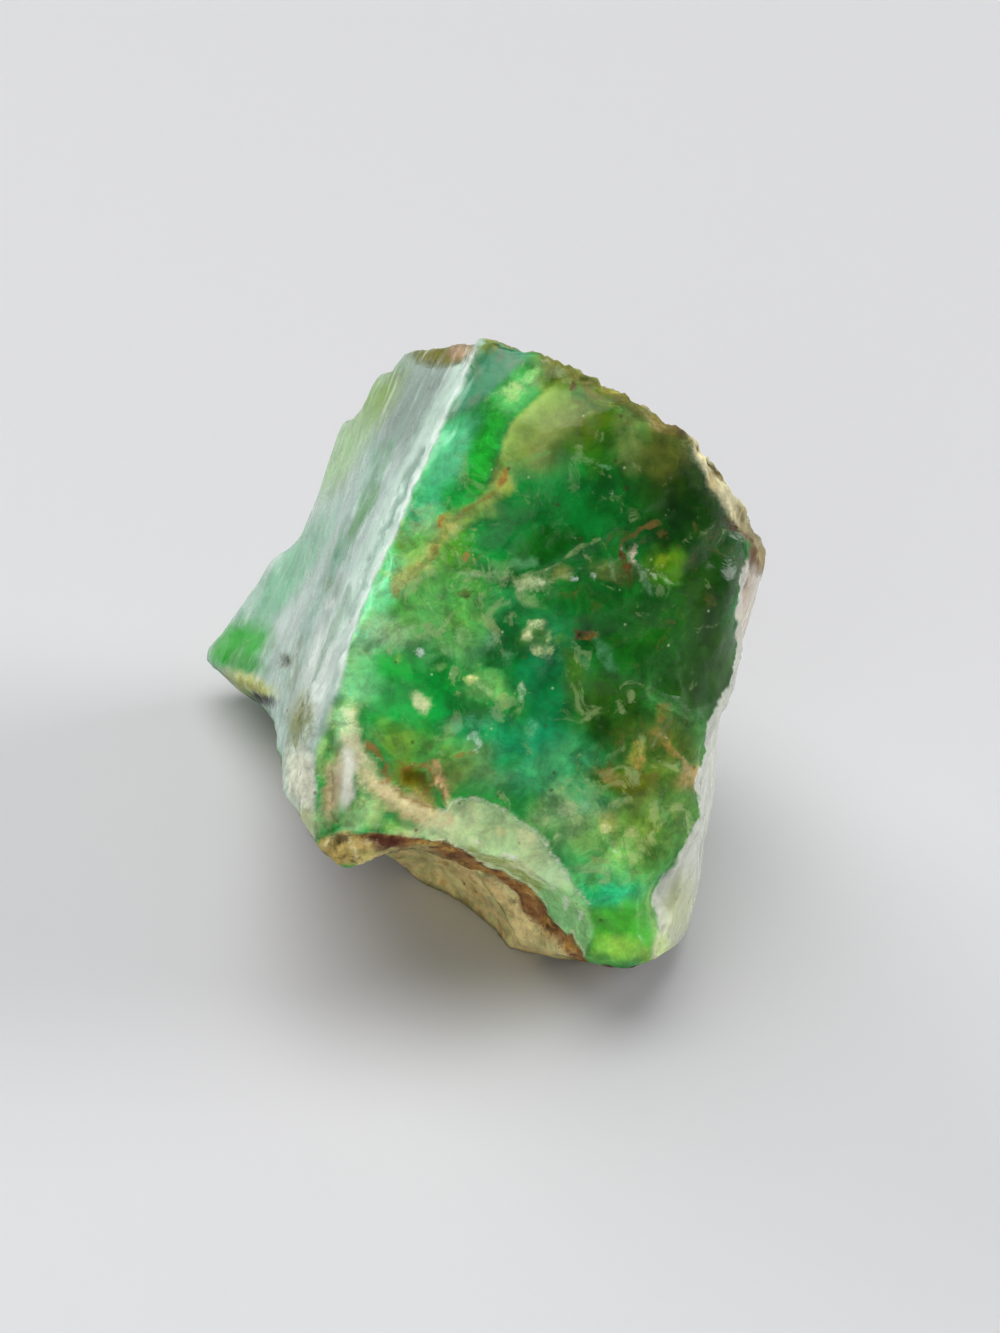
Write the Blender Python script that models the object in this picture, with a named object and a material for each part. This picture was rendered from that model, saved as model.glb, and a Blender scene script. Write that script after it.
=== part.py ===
"""Raw chrysoprase: one piece of rough, broken from a vein.

The blank is the closed form between the stone's main fracture corners. Curved
flake scars are then struck into it, each a part of a sphere, and the faces get
the slight unevenness of broken chalcedony. The stone rests on one flat facet
at z = 0. Millimetres in the tables, metres in the model.
"""

import bmesh
import bpy
import numpy as np
from mathutils import Vector, noise

MM = 0.001

VOXEL = 0.5  # grid on which the blank is resampled before the scars
FACES_KEPT = 5600  # triangles of the finished solid

# Fracture corners: X to the right, Y to the back, Z up.
CORNERS = {
    # crest of the stone, from the knob at the left down to the right shoulder
    "knob": (-2.6, 0.3, 32.9),
    "crest_a": (0.3, -0.8, 33.6),
    "crest_b": (3.2, -2.2, 32.9),
    "crest_c": (6.2, -2.6, 31.6),
    "crest_d": (10.3, -2.3, 29.2),
    "crest_e": (12.2, -1.6, 25.9),
    "shoulder": (13.7, 1.2, 21.1),
    # ridge between the front face and the left face
    "ridge_a": (-5.3, -6.0, 25.2),
    "ridge_b": (-8.0, -11.2, 18.4),
    "ridge_foot": (-9.2, -12.8, 15.0),
    # nub at the lower left of the front face
    "nub_top": (-9.1, -14.4, 12.0),
    "nub_left": (-7.9, -15.9, 11.0),
    "nub": (-6.5, -16.6, 10.6),
    # lower edge of the front face and its tip
    "brow": (-4.4, -16.0, 11.9),
    "tip_left": (5.8, -15.4, 6.3),
    "tip": (8.2, -15.4, 5.2),
    "tip_right": (9.8, -14.0, 4.8),
    # edge between the front face and the right face
    "edge_a": (12.9, 0.2, 21.3),
    "edge_b": (12.6, -2.6, 15.9),
    "edge_c": (11.7, -7.4, 9.3),
    "edge_d": (10.5, -11.2, 6.4),
    # right face
    "heel": (12.2, -7.2, 2.5),
    "heel_low": (11.6, -8.8, 1.8),
    "right_a": (13.0, 3.6, 15.2),
    "right_b": (12.1, 3.0, 6.0),
    # lower edge of the left face, from the nub back to the wing
    "left_low_a": (-9.8, -12.3, 10.9),
    "left_low_b": (-10.7, -9.8, 9.9),
    "left_low_c": (-11.7, -2.0, 7.7),
    "left_low_d": (-12.9, 3.4, 6.0),
    "left_low_e": (-13.9, 11.8, 3.6),
    # far rim of the left face
    "bump": (-5.3, 5.2, 29.4),
    "rim_a": (-6.7, 8.2, 26.5),
    "rim_b": (-8.9, 12.7, 23.8),
    "rim_c": (-10.7, 14.8, 17.9),
    # back
    "back_left": (-8.0, 15.8, 14.5),
    "back_mid": (2.0, 15.8, 13.0),
    "back_right": (10.0, 12.6, 12.0),
    "back_shoulder": (13.2, 6.4, 16.4),
    # resting facet
    "base_wing": (-13.6, 10.6, 0.0),
    "base_left": (-4.2, -2.0, 0.0),
    "base_front_a": (-2.2, -5.6, 0.0),
    "base_front_b": (1.7, -8.8, 0.0),
    "base_front_c": (6.6, -9.4, 0.0),
    "base_right_a": (10.8, -6.0, 0.0),
    "base_right_b": (12.2, 4.6, 0.0),
    "base_back_a": (9.0, 12.0, 0.0),
    "base_back_b": (-2.0, 14.6, 0.0),
    "base_back_c": (-12.4, 13.6, 0.0),
}

# Wing at the far left: the left face runs out past the body to a thin tip.
WING = {
    "wing_tip": (-18.1, 10.9, 2.7),
    "wing_tip_low": (-17.2, 11.4, 1.5),
    "wing_front": (-12.9, 3.4, 6.0),
    "wing_front_low": (-13.2, 6.2, 3.2),
    "wing_rim_a": (-15.3, 12.2, 5.9),
    "wing_rim_b": (-13.6, 12.8, 8.8),
    "wing_rim_c": (-12.2, 13.2, 12.0),
    "wing_root_a": (-8.0, 5.0, 8.0),
    "wing_root_b": (-8.0, 13.0, 8.0),
    "wing_foot_a": (-13.6, 10.0, 0.0),
    "wing_foot_b": (-12.6, 13.4, 0.0),
    "wing_foot_c": (-9.0, 10.0, 0.0),
}

# Lines that stay crisp while the faces between them are worn smooth.
CRISP = (
    ("knob", "ridge_a", "ridge_b", "ridge_foot", "nub_top", "nub_left", "nub", "brow"),
    ("knob", "crest_a", "crest_b", "crest_c", "crest_d", "crest_e", "shoulder"),
    ("shoulder", "edge_a", "edge_b", "edge_c", "edge_d", "tip_right", "tip"),
    ("tip", "tip_left", "brow"),
    ("tip_right", "heel_low", "heel", "right_b"),
    ("nub_top", "left_low_a", "left_low_b", "left_low_c", "left_low_d", "left_low_e"),
    ("knob", "bump", "rim_a"),
    ("wing_rim_b", "wing_rim_a", "wing_tip", "wing_tip_low", "wing_foot_a"),
    ("wing_tip", "wing_front"),
    ("rim_c", "back_left", "back_mid", "back_right", "back_shoulder", "shoulder"),
)
WORN_WITHIN = 2.6  # distance from a crisp line over which the wear sets in
WEAR_ROUNDS = 60
EDGE_ROUNDS = 4
STEP_ROUNDS = 3  # takes the grid's steps off the edges of the scars

# Flake scars: a point in the middle of the scar, the direction that it faces,
# how deep it is struck below that point, and the radius of its hollow.
SCARS = {
    "wing_back": ((-13.0, 14.0, 12.6), (-0.60, 0.78, 0.10), 1.3, 16.0),
    "under_left": ((-2.5, -10.9, 5.1), (-0.62, -0.38, -0.68), 2.4, 10.5),
    "under_arch": ((-0.8, -15.6, 9.6), (-0.08, -0.56, -0.83), 2.3, 8.4),
    "lip": ((-0.6, -15.1, 11.6), (0.36, -0.83, 0.42), 0.7, 16.0),
    "right_hollow": ((12.6, -1.5, 11.0), (0.98, -0.20, 0.00), 0.45, 45.0),
    "back_low": ((4.5, 15.0, 6.5), (0.18, 0.97, -0.10), 1.3, 17.0),
    "back_top": ((4.0, 9.0, 21.2), (0.36, 0.70, 0.62), 0.8, 30.0),
    "back_corner": ((12.0, 9.4, 9.0), (0.80, 0.58, -0.05), 1.4, 15.0),
    "crest_bevel": ((-2.0, -1.2, 32.0), (-0.05, -0.62, 0.78), 0.35, 26.0),
    "crest_notch": ((2.7, -2.3, 32.5), (0.45, -0.35, 0.82), 0.5, 1.6),
}

# The resting facet is flat within this radius of its middle; beyond it, it has
# shallow hollows.
BASE_MIDDLE = (1.5, 3.0)
BASE_FLAT = 5.5


ALL = {**CORNERS, **WING}


def unit(v):
    v = np.asarray(v, float)
    return v / np.linalg.norm(v)


def add_hull(bm, corners):
    """Adds the closed form between the corners."""
    points = [bm.verts.new(Vector(point) * MM) for point in corners.values()]
    hull = bmesh.ops.convex_hull(bm, input=points)
    loose = [v for v in hull["geom_interior"] if isinstance(v, bmesh.types.BMVert)]
    bmesh.ops.delete(bm, geom=loose, context="VERTS")


def blank():
    """The body and its wing, which the first resampling joins."""
    bm = bmesh.new()
    add_hull(bm, CORNERS)
    add_hull(bm, WING)
    bmesh.ops.recalc_face_normals(bm, faces=bm.faces)
    mesh = bpy.data.meshes.new("blank")
    bm.to_mesh(mesh)
    bm.free()
    obj = bpy.data.objects.new("blank", mesh)
    bpy.context.scene.collection.objects.link(obj)
    return obj


def applied(obj):
    """The object's mesh with its modifiers applied."""
    graph = bpy.context.evaluated_depsgraph_get()
    mesh = bpy.data.meshes.new_from_object(obj.evaluated_get(graph), depsgraph=graph)
    old = obj.data
    obj.modifiers.clear()
    obj.data = mesh
    bpy.data.meshes.remove(old)
    return mesh


def resampled(obj):
    remesh = obj.modifiers.new("resample", "REMESH")
    remesh.mode = "VOXEL"
    remesh.voxel_size = VOXEL * MM
    return applied(obj)


def points_of(mesh):
    co = np.empty(len(mesh.vertices) * 3)
    mesh.vertices.foreach_get("co", co)
    return co.reshape(-1, 3) / MM


def normals_of(mesh):
    no = np.empty(len(mesh.vertices) * 3)
    mesh.vertices.foreach_get("normal", no)
    return no.reshape(-1, 3)


def edges_of(mesh):
    ends = np.empty(len(mesh.edges) * 2, np.int64)
    mesh.edges.foreach_get("vertices", ends)
    return ends.reshape(-1, 2)


def put(mesh, points):
    mesh.vertices.foreach_set("co", (points * MM).ravel())
    mesh.update()


def from_lines(points, lines):
    """Distance of each point to the nearest of the lines between corners."""
    near = np.full(len(points), 1e9)
    for line in lines:
        for a, b in zip(line[:-1], line[1:]):
            a, b = np.array(ALL[a]), np.array(ALL[b])
            t = np.clip((points - a) @ (b - a) / ((b - a) @ (b - a)), 0, 1)
            near = np.minimum(
                near, np.linalg.norm(points - a - t[:, None] * (b - a), axis=1)
            )
    return near


def averaged(points, ends, share, rounds):
    """Moves each point by its share of the way to the middle of its neighbours."""
    a, b = ends[:, 0], ends[:, 1]
    count = np.bincount(ends.ravel(), minlength=len(points))[:, None]
    for _ in range(rounds):
        total = np.zeros_like(points)
        np.add.at(total, a, points[b])
        np.add.at(total, b, points[a])
        points = points + share[:, None] * (total / count - points)
    return points


def worn(points, ends):
    """Wears the faces smooth and leaves the crisp lines and the base alone."""
    t = np.clip(from_lines(points, CRISP) / WORN_WITHIN - 0.15, 0, 1)
    give = t * t * (3 - 2 * t)
    give *= np.clip((points[:, 2] - 0.4) / 1.5, 0, 1)
    off_base = points[:, 2] > 0.15
    # the first rounds also take the teeth off the crisp lines
    points = averaged(points, ends, 0.5 * np.maximum(give, 0.6) * off_base, EDGE_ROUNDS)
    return averaged(points, ends, 0.5 * give * off_base, WEAR_ROUNDS)


def strike(points, scar):
    """Moves the points inside the scar's sphere out to its surface."""
    middle, facing, depth, radius = scar
    centre = np.array(middle) + unit(facing) * (radius - depth)
    away = points - centre
    dist = np.linalg.norm(away, axis=1)
    for i in np.flatnonzero(dist < radius * 1.05):
        ripple = noise.noise(Vector(points[i]) / 4.2 + Vector((1.7, 8.2, 3.3)))
        reach = radius + 0.3 * depth * ripple
        if dist[i] < reach:
            points[i] = centre + away[i] / dist[i] * reach
    return points


def settled(points, ends, rounds):
    """Averages the points, and keeps those of the base in their plane."""
    base = points[:, 2] < 0.15
    half = np.full(len(points), 0.5)
    for _ in range(rounds):
        points = averaged(points, ends, half, 1)
        points[base, 2] = 0.0
    return points


def rest(points, ends):
    """Leaves shallow hollows in the resting facet, between its middle and its rim."""
    base = (points[:, 2] < 0.05)[:, None].astype(float)
    inside = averaged(base, ends, np.full(len(base), 0.5), 16)[:, 0]
    for i in np.flatnonzero(base[:, 0]):
        p = points[i]
        dx, dy = p[0] - BASE_MIDDLE[0], p[1] - BASE_MIDDLE[1]
        lobes = 1 + 0.22 * np.sin(2 * np.arctan2(dy, dx) + 0.6) + 0.14 * np.sin(dx - dy)
        out = np.hypot(dx, dy) - BASE_FLAT * lobes
        hollow = noise.noise(Vector((p[0] / 4.0, p[1] / 4.0, 6.6))) + 0.08
        fade = min(max((inside[i] - 0.6) / 0.4, 0.0), 1.0)
        p[2] = min(max(hollow, 0.0), max(out, 0.0) * 0.4) * 1.3 * fade
    return points


def uneven(points, normals):
    """Broken chalcedony is never quite flat: broad waves, then small hackles."""
    out = points.copy()
    for i, (p, n) in enumerate(zip(points, normals)):
        broad = noise.noise(Vector(p) / 7.5 + Vector((3.1, 0.7, 5.2)))
        small = noise.noise(Vector(p) / 2.4 + Vector((9.3, 4.4, 1.9)))
        rise = min(max(p[2] / 1.6 - 0.1, 0.0), 1.0)
        out[i] += n * (0.40 * broad + 0.14 * small) * rise
    return out


def stone():
    obj = blank()
    mesh = resampled(obj)
    points = worn(points_of(mesh), edges_of(mesh))
    for scar in SCARS.values():
        points = strike(points, scar)
    put(mesh, points)
    mesh = resampled(obj)
    ends = edges_of(mesh)
    put(mesh, settled(points_of(mesh), ends, STEP_ROUNDS))
    points = uneven(points_of(mesh), normals_of(mesh))
    put(mesh, rest(points, ends))
    thin = obj.modifiers.new("thin", "DECIMATE")
    thin.ratio = FACES_KEPT / sum(len(p.vertices) - 2 for p in mesh.polygons)
    mesh = applied(obj)
    points = points_of(mesh)
    points[points[:, 2] < 0.03, 2] = 0.0
    # the origin is the middle of the stone's box, on the bench
    middle = (points.min(axis=0) + points.max(axis=0)) / 2
    put(mesh, points - (middle[0], middle[1], 0.0))
    obj.name = "chrysoprase"
    mesh.name = "chrysoprase"
    return obj


def chalcedony():
    material = bpy.data.materials.new("chrysoprase green")
    material.use_nodes = True
    shader = material.node_tree.nodes["Principled BSDF"]
    shader.inputs["Base Color"].default_value = (0.02, 0.22, 0.07, 1.0)
    shader.inputs["Roughness"].default_value = 0.3
    shader.inputs["Metallic"].default_value = 0.0
    return material


def main():
    for obj in list(bpy.data.objects):
        bpy.data.objects.remove(obj, do_unlink=True)
    obj = stone()
    obj.data.materials.clear()
    obj.data.materials.append(chalcedony())


main()
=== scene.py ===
"""Looks of the raw chrysoprase: the stone is struck again on a finer grid than
its solid, gets its hackles, rind, pits and grain in the mesh, and is coloured by
named patches, veins and specks that are placed one by one.

Work is done in millimetres, in the frame in which the corners are listed; SHIFT
takes that frame to the row's frame. Patches are placed in picture units: the
point where the eye of the camera sees that spot of the stone, on a sheet of
1000 x 1333 units.
"""

import bmesh
import bpy
import numpy as np
from mathutils import Matrix, Vector, noise
from mathutils.bvhtree import BVHTree


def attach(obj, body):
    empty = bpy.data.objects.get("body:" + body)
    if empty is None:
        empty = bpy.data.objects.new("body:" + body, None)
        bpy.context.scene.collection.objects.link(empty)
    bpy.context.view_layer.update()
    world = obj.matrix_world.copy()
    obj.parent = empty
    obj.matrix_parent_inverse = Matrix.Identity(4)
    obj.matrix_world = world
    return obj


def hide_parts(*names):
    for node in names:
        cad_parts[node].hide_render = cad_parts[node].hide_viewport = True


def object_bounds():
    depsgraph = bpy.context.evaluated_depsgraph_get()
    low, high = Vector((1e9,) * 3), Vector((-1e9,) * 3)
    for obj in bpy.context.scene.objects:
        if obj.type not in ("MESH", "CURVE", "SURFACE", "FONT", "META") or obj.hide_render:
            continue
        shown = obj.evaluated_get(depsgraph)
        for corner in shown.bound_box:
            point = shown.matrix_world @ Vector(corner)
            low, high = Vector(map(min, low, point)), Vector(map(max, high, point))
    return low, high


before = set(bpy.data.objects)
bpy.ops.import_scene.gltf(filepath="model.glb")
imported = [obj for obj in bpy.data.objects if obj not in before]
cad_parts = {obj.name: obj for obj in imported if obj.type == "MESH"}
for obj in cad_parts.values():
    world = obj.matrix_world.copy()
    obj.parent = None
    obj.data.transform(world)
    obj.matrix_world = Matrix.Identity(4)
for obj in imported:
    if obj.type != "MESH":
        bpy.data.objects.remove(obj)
cad_box = [list(corner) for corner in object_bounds()]

MM = 0.001
COARSE = 0.25  # grid of the blank
FINE = 0.22  # grid of the finished stone
SHIFT = np.array((1.97, 0.27, 0.0))

# ---------------------------------------------------------------- the camera
FOCAL = 3000.0  # in picture units
EYE_DOWN = np.radians(36.0)
EYE_ROLL = np.radians(6.3)
AIM = np.array((0.0, 0.0, 12.5))
LOOK = np.array((0.0, np.cos(EYE_DOWN), -np.sin(EYE_DOWN)))
_level = np.array((1.0, 0.0, 0.0))
_rise = np.array((0.0, np.sin(EYE_DOWN), np.cos(EYE_DOWN)))
RIGHT = np.cos(EYE_ROLL) * _level + np.sin(EYE_ROLL) * _rise
UP = -np.sin(EYE_ROLL) * _level + np.cos(EYE_ROLL) * _rise
EYE = AIM - LOOK * FOCAL * 0.055


def sheet(points, eye=EYE):
    """Picture units of the points, as (x to the right, y downwards)."""
    away = points - eye
    deep = away @ LOOK
    return np.stack(
        [500 + FOCAL * (away @ RIGHT) / deep, 666.5 - FOCAL * (away @ UP) / deep], 1
    )


def sight(x, y):
    """Direction from the eye through a spot of the picture."""
    return Vector(LOOK * FOCAL + RIGHT * (x - 500) + UP * (666.5 - y)).normalized()


# Fracture corners: X to the right, Y to the back, Z up.
CORNERS = {
    # crest of the stone, from the knob at the left down to the right shoulder
    "knob": (-2.6, 0.3, 32.9),
    "crest_a": (0.3, -0.8, 33.6),
    "crest_b": (3.2, -2.2, 32.9),
    "crest_c": (6.2, -2.6, 31.6),
    "crest_d": (10.3, -2.3, 29.2),
    "crest_e": (12.2, -1.6, 25.9),
    "shoulder": (13.7, 1.2, 21.1),
    # ridge between the front face and the left face
    "ridge_a": (-5.3, -6.0, 25.2),
    "ridge_b": (-8.0, -11.2, 18.4),
    "ridge_foot": (-9.2, -12.8, 15.0),
    # nub at the lower left of the front face
    "nub_top": (-9.1, -14.4, 12.0),
    "nub_left": (-7.9, -15.9, 11.0),
    "nub": (-6.5, -16.6, 10.6),
    # lower edge of the front face and its tip
    "brow": (-4.4, -16.0, 11.9),
    "tip_left": (5.8, -15.4, 6.3),
    "tip": (8.2, -15.4, 5.2),
    "tip_right": (9.8, -14.0, 4.8),
    # edge between the front face and the right face
    "edge_a": (12.9, 0.2, 21.3),
    "edge_b": (12.6, -2.6, 15.9),
    "edge_c": (11.7, -7.4, 9.3),
    "edge_d": (10.5, -11.2, 6.4),
    # right face
    "heel": (12.2, -7.2, 2.5),
    "heel_low": (11.6, -8.8, 1.8),
    "right_a": (13.0, 3.6, 15.2),
    "right_b": (12.1, 3.0, 6.0),
    # lower edge of the left face, from the nub back to the wing
    "left_low_a": (-9.8, -12.3, 10.9),
    "left_low_b": (-10.7, -9.8, 9.9),
    "left_low_c": (-11.7, -2.0, 7.7),
    "left_low_d": (-12.9, 3.4, 6.0),
    "left_low_e": (-13.9, 11.8, 3.6),
    # far rim of the left face
    "bump": (-5.3, 5.2, 29.4),
    "rim_a": (-6.7, 8.2, 26.5),
    "rim_b": (-8.9, 12.7, 23.8),
    "rim_c": (-10.7, 14.8, 17.9),
    # back
    "back_left": (-8.0, 15.8, 14.5),
    "back_mid": (2.0, 15.8, 13.0),
    "back_right": (10.0, 12.6, 12.0),
    "back_shoulder": (13.2, 6.4, 16.4),
    # resting facet
    "base_wing": (-13.6, 10.6, 0.0),
    "base_left": (-4.2, -2.0, 0.0),
    "base_front_a": (-2.2, -5.6, 0.0),
    "base_front_b": (1.7, -8.8, 0.0),
    "base_front_c": (6.6, -9.4, 0.0),
    "base_right_a": (10.8, -6.0, 0.0),
    "base_right_b": (12.2, 4.6, 0.0),
    "base_back_a": (9.0, 12.0, 0.0),
    "base_back_b": (-2.0, 14.6, 0.0),
    "base_back_c": (-12.4, 13.6, 0.0),
}

# Wing at the far left: the left face runs out past the body to a thin tip.
WING = {
    "wing_tip": (-18.1, 10.9, 2.7),
    "wing_tip_low": (-17.2, 11.4, 1.5),
    "wing_front": (-12.9, 3.4, 6.0),
    "wing_front_low": (-13.2, 6.2, 3.2),
    "wing_rim_a": (-15.3, 12.2, 5.9),
    "wing_rim_b": (-13.6, 12.8, 8.8),
    "wing_rim_c": (-12.2, 13.2, 12.0),
    "wing_root_a": (-8.0, 5.0, 8.0),
    "wing_root_b": (-8.0, 13.0, 8.0),
    "wing_foot_a": (-13.6, 10.0, 0.0),
    "wing_foot_b": (-12.6, 13.4, 0.0),
    "wing_foot_c": (-9.0, 10.0, 0.0),
}

# Lines that stay crisp while the faces between them are worn smooth.
CRISP = (
    ("knob", "ridge_a", "ridge_b", "ridge_foot", "nub_top", "nub_left", "nub", "brow"),
    ("knob", "crest_a", "crest_b", "crest_c", "crest_d", "crest_e", "shoulder"),
    ("shoulder", "edge_a", "edge_b", "edge_c", "edge_d", "tip_right", "tip"),
    ("tip", "tip_left", "brow"),
    ("tip_right", "heel_low", "heel", "right_b"),
    ("nub_top", "left_low_a", "left_low_b", "left_low_c", "left_low_d", "left_low_e"),
    ("knob", "bump", "rim_a"),
    ("wing_rim_b", "wing_rim_a", "wing_tip", "wing_tip_low", "wing_foot_a"),
    ("wing_tip", "wing_front"),
    ("rim_c", "back_left", "back_mid", "back_right", "back_shoulder", "shoulder"),
)
WORN_WITHIN = 2.6  # distance from a crisp line over which the wear sets in
WEAR_ROUNDS = 240
EDGE_ROUNDS = 6
STEP_ROUNDS = 2  # takes the grid's steps off the edges of the scars

# Flake scars: a point in the middle of the scar, the direction that it faces,
# how deep it is struck below that point, and the radius of its hollow.
SCARS = {
    "wing_back": ((-13.0, 14.0, 12.6), (-0.60, 0.78, 0.10), 1.3, 16.0),
    "under_left": ((-2.5, -10.9, 5.1), (-0.62, -0.38, -0.68), 2.4, 10.5),
    "under_arch": ((-0.8, -15.6, 9.6), (-0.08, -0.56, -0.83), 2.3, 8.4),
    "lip": ((-0.6, -15.1, 11.6), (0.36, -0.83, 0.42), 0.7, 16.0),
    "right_hollow": ((12.6, -1.5, 11.0), (0.98, -0.20, 0.00), 0.45, 45.0),
    "back_low": ((4.5, 15.0, 6.5), (0.18, 0.97, -0.10), 1.3, 17.0),
    "back_top": ((4.0, 9.0, 21.2), (0.36, 0.70, 0.62), 0.8, 30.0),
    "back_corner": ((12.0, 9.4, 9.0), (0.80, 0.58, -0.05), 1.4, 15.0),
    "crest_bevel": ((-2.0, -1.2, 32.0), (-0.05, -0.62, 0.78), 0.35, 26.0),
    "crest_notch": ((2.7, -2.3, 32.5), (0.45, -0.35, 0.82), 0.5, 1.6),
}

# The resting facet is flat within this radius of its middle; beyond it, it has
# shallow hollows.
BASE_MIDDLE = (1.5, 3.0)
BASE_FLAT = 5.5

# ------------------------------------------------------------------- helpers
def unit(v):
    v = np.asarray(v, float)
    return v / np.linalg.norm(v)


def smooth(t):
    t = np.clip(t, 0.0, 1.0)
    return t * t * (3 - 2 * t)


def ramp(x, low, high):
    return smooth((x - low) / (high - low))


def linear(code):
    """Linear colour of a hexadecimal one."""
    c = np.array([int(code[i : i + 2], 16) for i in (1, 3, 5)]) / 255
    return np.where(c <= 0.04045, c / 12.92, ((c + 0.055) / 1.055) ** 2.4)


def gradients(cell, seed):
    h = (cell[:, 0] * 374761393 + cell[:, 1] * 668265263) & 0xFFFFFFFF
    h = (h + cell[:, 2] * 1440662683 + seed * 974711) & 0xFFFFFFFF
    h = ((h ^ (h >> 15)) * 739982445) & 0xFFFFFFFF
    h = ((h ^ (h >> 12)) * 695872825) & 0xFFFFFFFF
    h = h ^ (h >> 15)
    return np.stack([h & 1023, (h >> 10) & 1023, (h >> 20) & 1023], 1) / 511.5 - 1


def wave(points, size, seed=0):
    """Smooth noise of about -1 to 1, whose lumps are about size across."""
    p = points / size
    cell = np.floor(p).astype(np.int64)
    f = p - cell
    w = f * f * f * (f * (f * 6 - 15) + 10)
    out = np.zeros(len(p))
    for dx in (0, 1):
        for dy in (0, 1):
            for dz in (0, 1):
                step = np.array((dx, dy, dz))
                dot = (gradients(cell + step, seed) * (f - step)).sum(1)
                part = np.where(step, w, 1 - w).prod(1)
                out += part * dot
    return out * 1.25


def layered(points, size, rounds=4, seed=0, fade=0.5):
    out, share = np.zeros(len(points)), 1.0
    for k in range(rounds):
        out += share * wave(points + 13.7 * k, size, seed + 31 * k)
        share *= fade
        size /= 2.03
    return out


# ------------------------------------------------------------------ the stone
ALL = {**CORNERS, **WING}


def add_hull(bm, corners):
    points = [bm.verts.new(Vector(point) * MM) for point in corners.values()]
    hull = bmesh.ops.convex_hull(bm, input=points)
    loose = [v for v in hull["geom_interior"] if isinstance(v, bmesh.types.BMVert)]
    bmesh.ops.delete(bm, geom=loose, context="VERTS")


def blank():
    bm = bmesh.new()
    add_hull(bm, CORNERS)
    add_hull(bm, WING)
    bmesh.ops.recalc_face_normals(bm, faces=bm.faces)
    mesh = bpy.data.meshes.new("blank")
    bm.to_mesh(mesh)
    bm.free()
    obj = bpy.data.objects.new("rough_stone", mesh)
    bpy.context.scene.collection.objects.link(obj)
    return obj


def applied(obj):
    graph = bpy.context.evaluated_depsgraph_get()
    mesh = bpy.data.meshes.new_from_object(obj.evaluated_get(graph), depsgraph=graph)
    old = obj.data
    obj.modifiers.clear()
    obj.data = mesh
    bpy.data.meshes.remove(old)
    return mesh


def resampled(obj, grid):
    remesh = obj.modifiers.new("resample", "REMESH")
    remesh.mode = "VOXEL"
    remesh.voxel_size = grid * MM
    return applied(obj)


def points_of(mesh):
    co = np.empty(len(mesh.vertices) * 3)
    mesh.vertices.foreach_get("co", co)
    return co.reshape(-1, 3) / MM


def normals_of(mesh):
    no = np.empty(len(mesh.vertices) * 3)
    mesh.vertices.foreach_get("normal", no)
    return no.reshape(-1, 3)


def edges_of(mesh):
    ends = np.empty(len(mesh.edges) * 2, np.int64)
    mesh.edges.foreach_get("vertices", ends)
    return ends.reshape(-1, 2)


def put(mesh, points):
    mesh.vertices.foreach_set("co", (points * MM).ravel())
    mesh.update()


def from_lines(points, lines):
    near = np.full(len(points), 1e9)
    for line in lines:
        for a, b in zip(line[:-1], line[1:]):
            a, b = np.array(ALL[a]), np.array(ALL[b])
            t = np.clip((points - a) @ (b - a) / ((b - a) @ (b - a)), 0, 1)
            near = np.minimum(
                near, np.linalg.norm(points - a - t[:, None] * (b - a), axis=1)
            )
    return near


def averaged(points, ends, share, rounds):
    a, b = ends[:, 0], ends[:, 1]
    many = len(points)
    count = np.bincount(ends.ravel(), minlength=many)[:, None]
    for _ in range(rounds):
        total = np.stack(
            [
                np.bincount(a, points[b, k], many) + np.bincount(b, points[a, k], many)
                for k in range(points.shape[1])
            ],
            1,
        )
        points = points + share[:, None] * (total / count - points)
    return points


def worn(points, ends):
    t = np.clip(from_lines(points, CRISP) / WORN_WITHIN - 0.15, 0, 1)
    give = smooth(t) * np.clip((points[:, 2] - 0.4) / 1.5, 0, 1)
    off_base = points[:, 2] > 0.15
    points = averaged(points, ends, 0.5 * np.maximum(give, 0.6) * off_base, EDGE_ROUNDS)
    return averaged(points, ends, 0.5 * give * off_base, WEAR_ROUNDS)


def strike(points, scar):
    """Moves the points inside the scar's sphere out to its surface."""
    middle, facing, depth, radius = scar
    centre = np.array(middle) + unit(facing) * (radius - depth)
    away = points - centre
    dist = np.linalg.norm(away, axis=1)
    near = np.flatnonzero(dist < radius * 1.05)
    for i in near:
        ripple = noise.noise(Vector(points[i]) / 4.2 + Vector((1.7, 8.2, 3.3)))
        reach = radius + 0.3 * depth * ripple
        if dist[i] < reach:
            points[i] = centre + away[i] / dist[i] * reach
    return points


def settled(points, ends, rounds):
    base = points[:, 2] < 0.15
    half = np.full(len(points), 0.5)
    for _ in range(rounds):
        points = averaged(points, ends, half, 1)
        points[base, 2] = 0.0
    return points


def rest(points, ends):
    base = (points[:, 2] < 0.05)[:, None].astype(float)
    inside = averaged(base, ends, np.full(len(base), 0.5), 100)[:, 0]
    for i in np.flatnonzero(base[:, 0]):
        p = points[i]
        dx, dy = p[0] - BASE_MIDDLE[0], p[1] - BASE_MIDDLE[1]
        lobes = 1 + 0.22 * np.sin(2 * np.arctan2(dy, dx) + 0.6) + 0.14 * np.sin(dx - dy)
        out = np.hypot(dx, dy) - BASE_FLAT * lobes
        hollow = noise.noise(Vector((p[0] / 4.0, p[1] / 4.0, 6.6))) + 0.08
        fade = min(max((inside[i] - 0.6) / 0.4, 0.0), 1.0)
        p[2] = min(max(hollow, 0.0), max(out, 0.0) * 0.4) * 1.3 * fade
    return points


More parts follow.
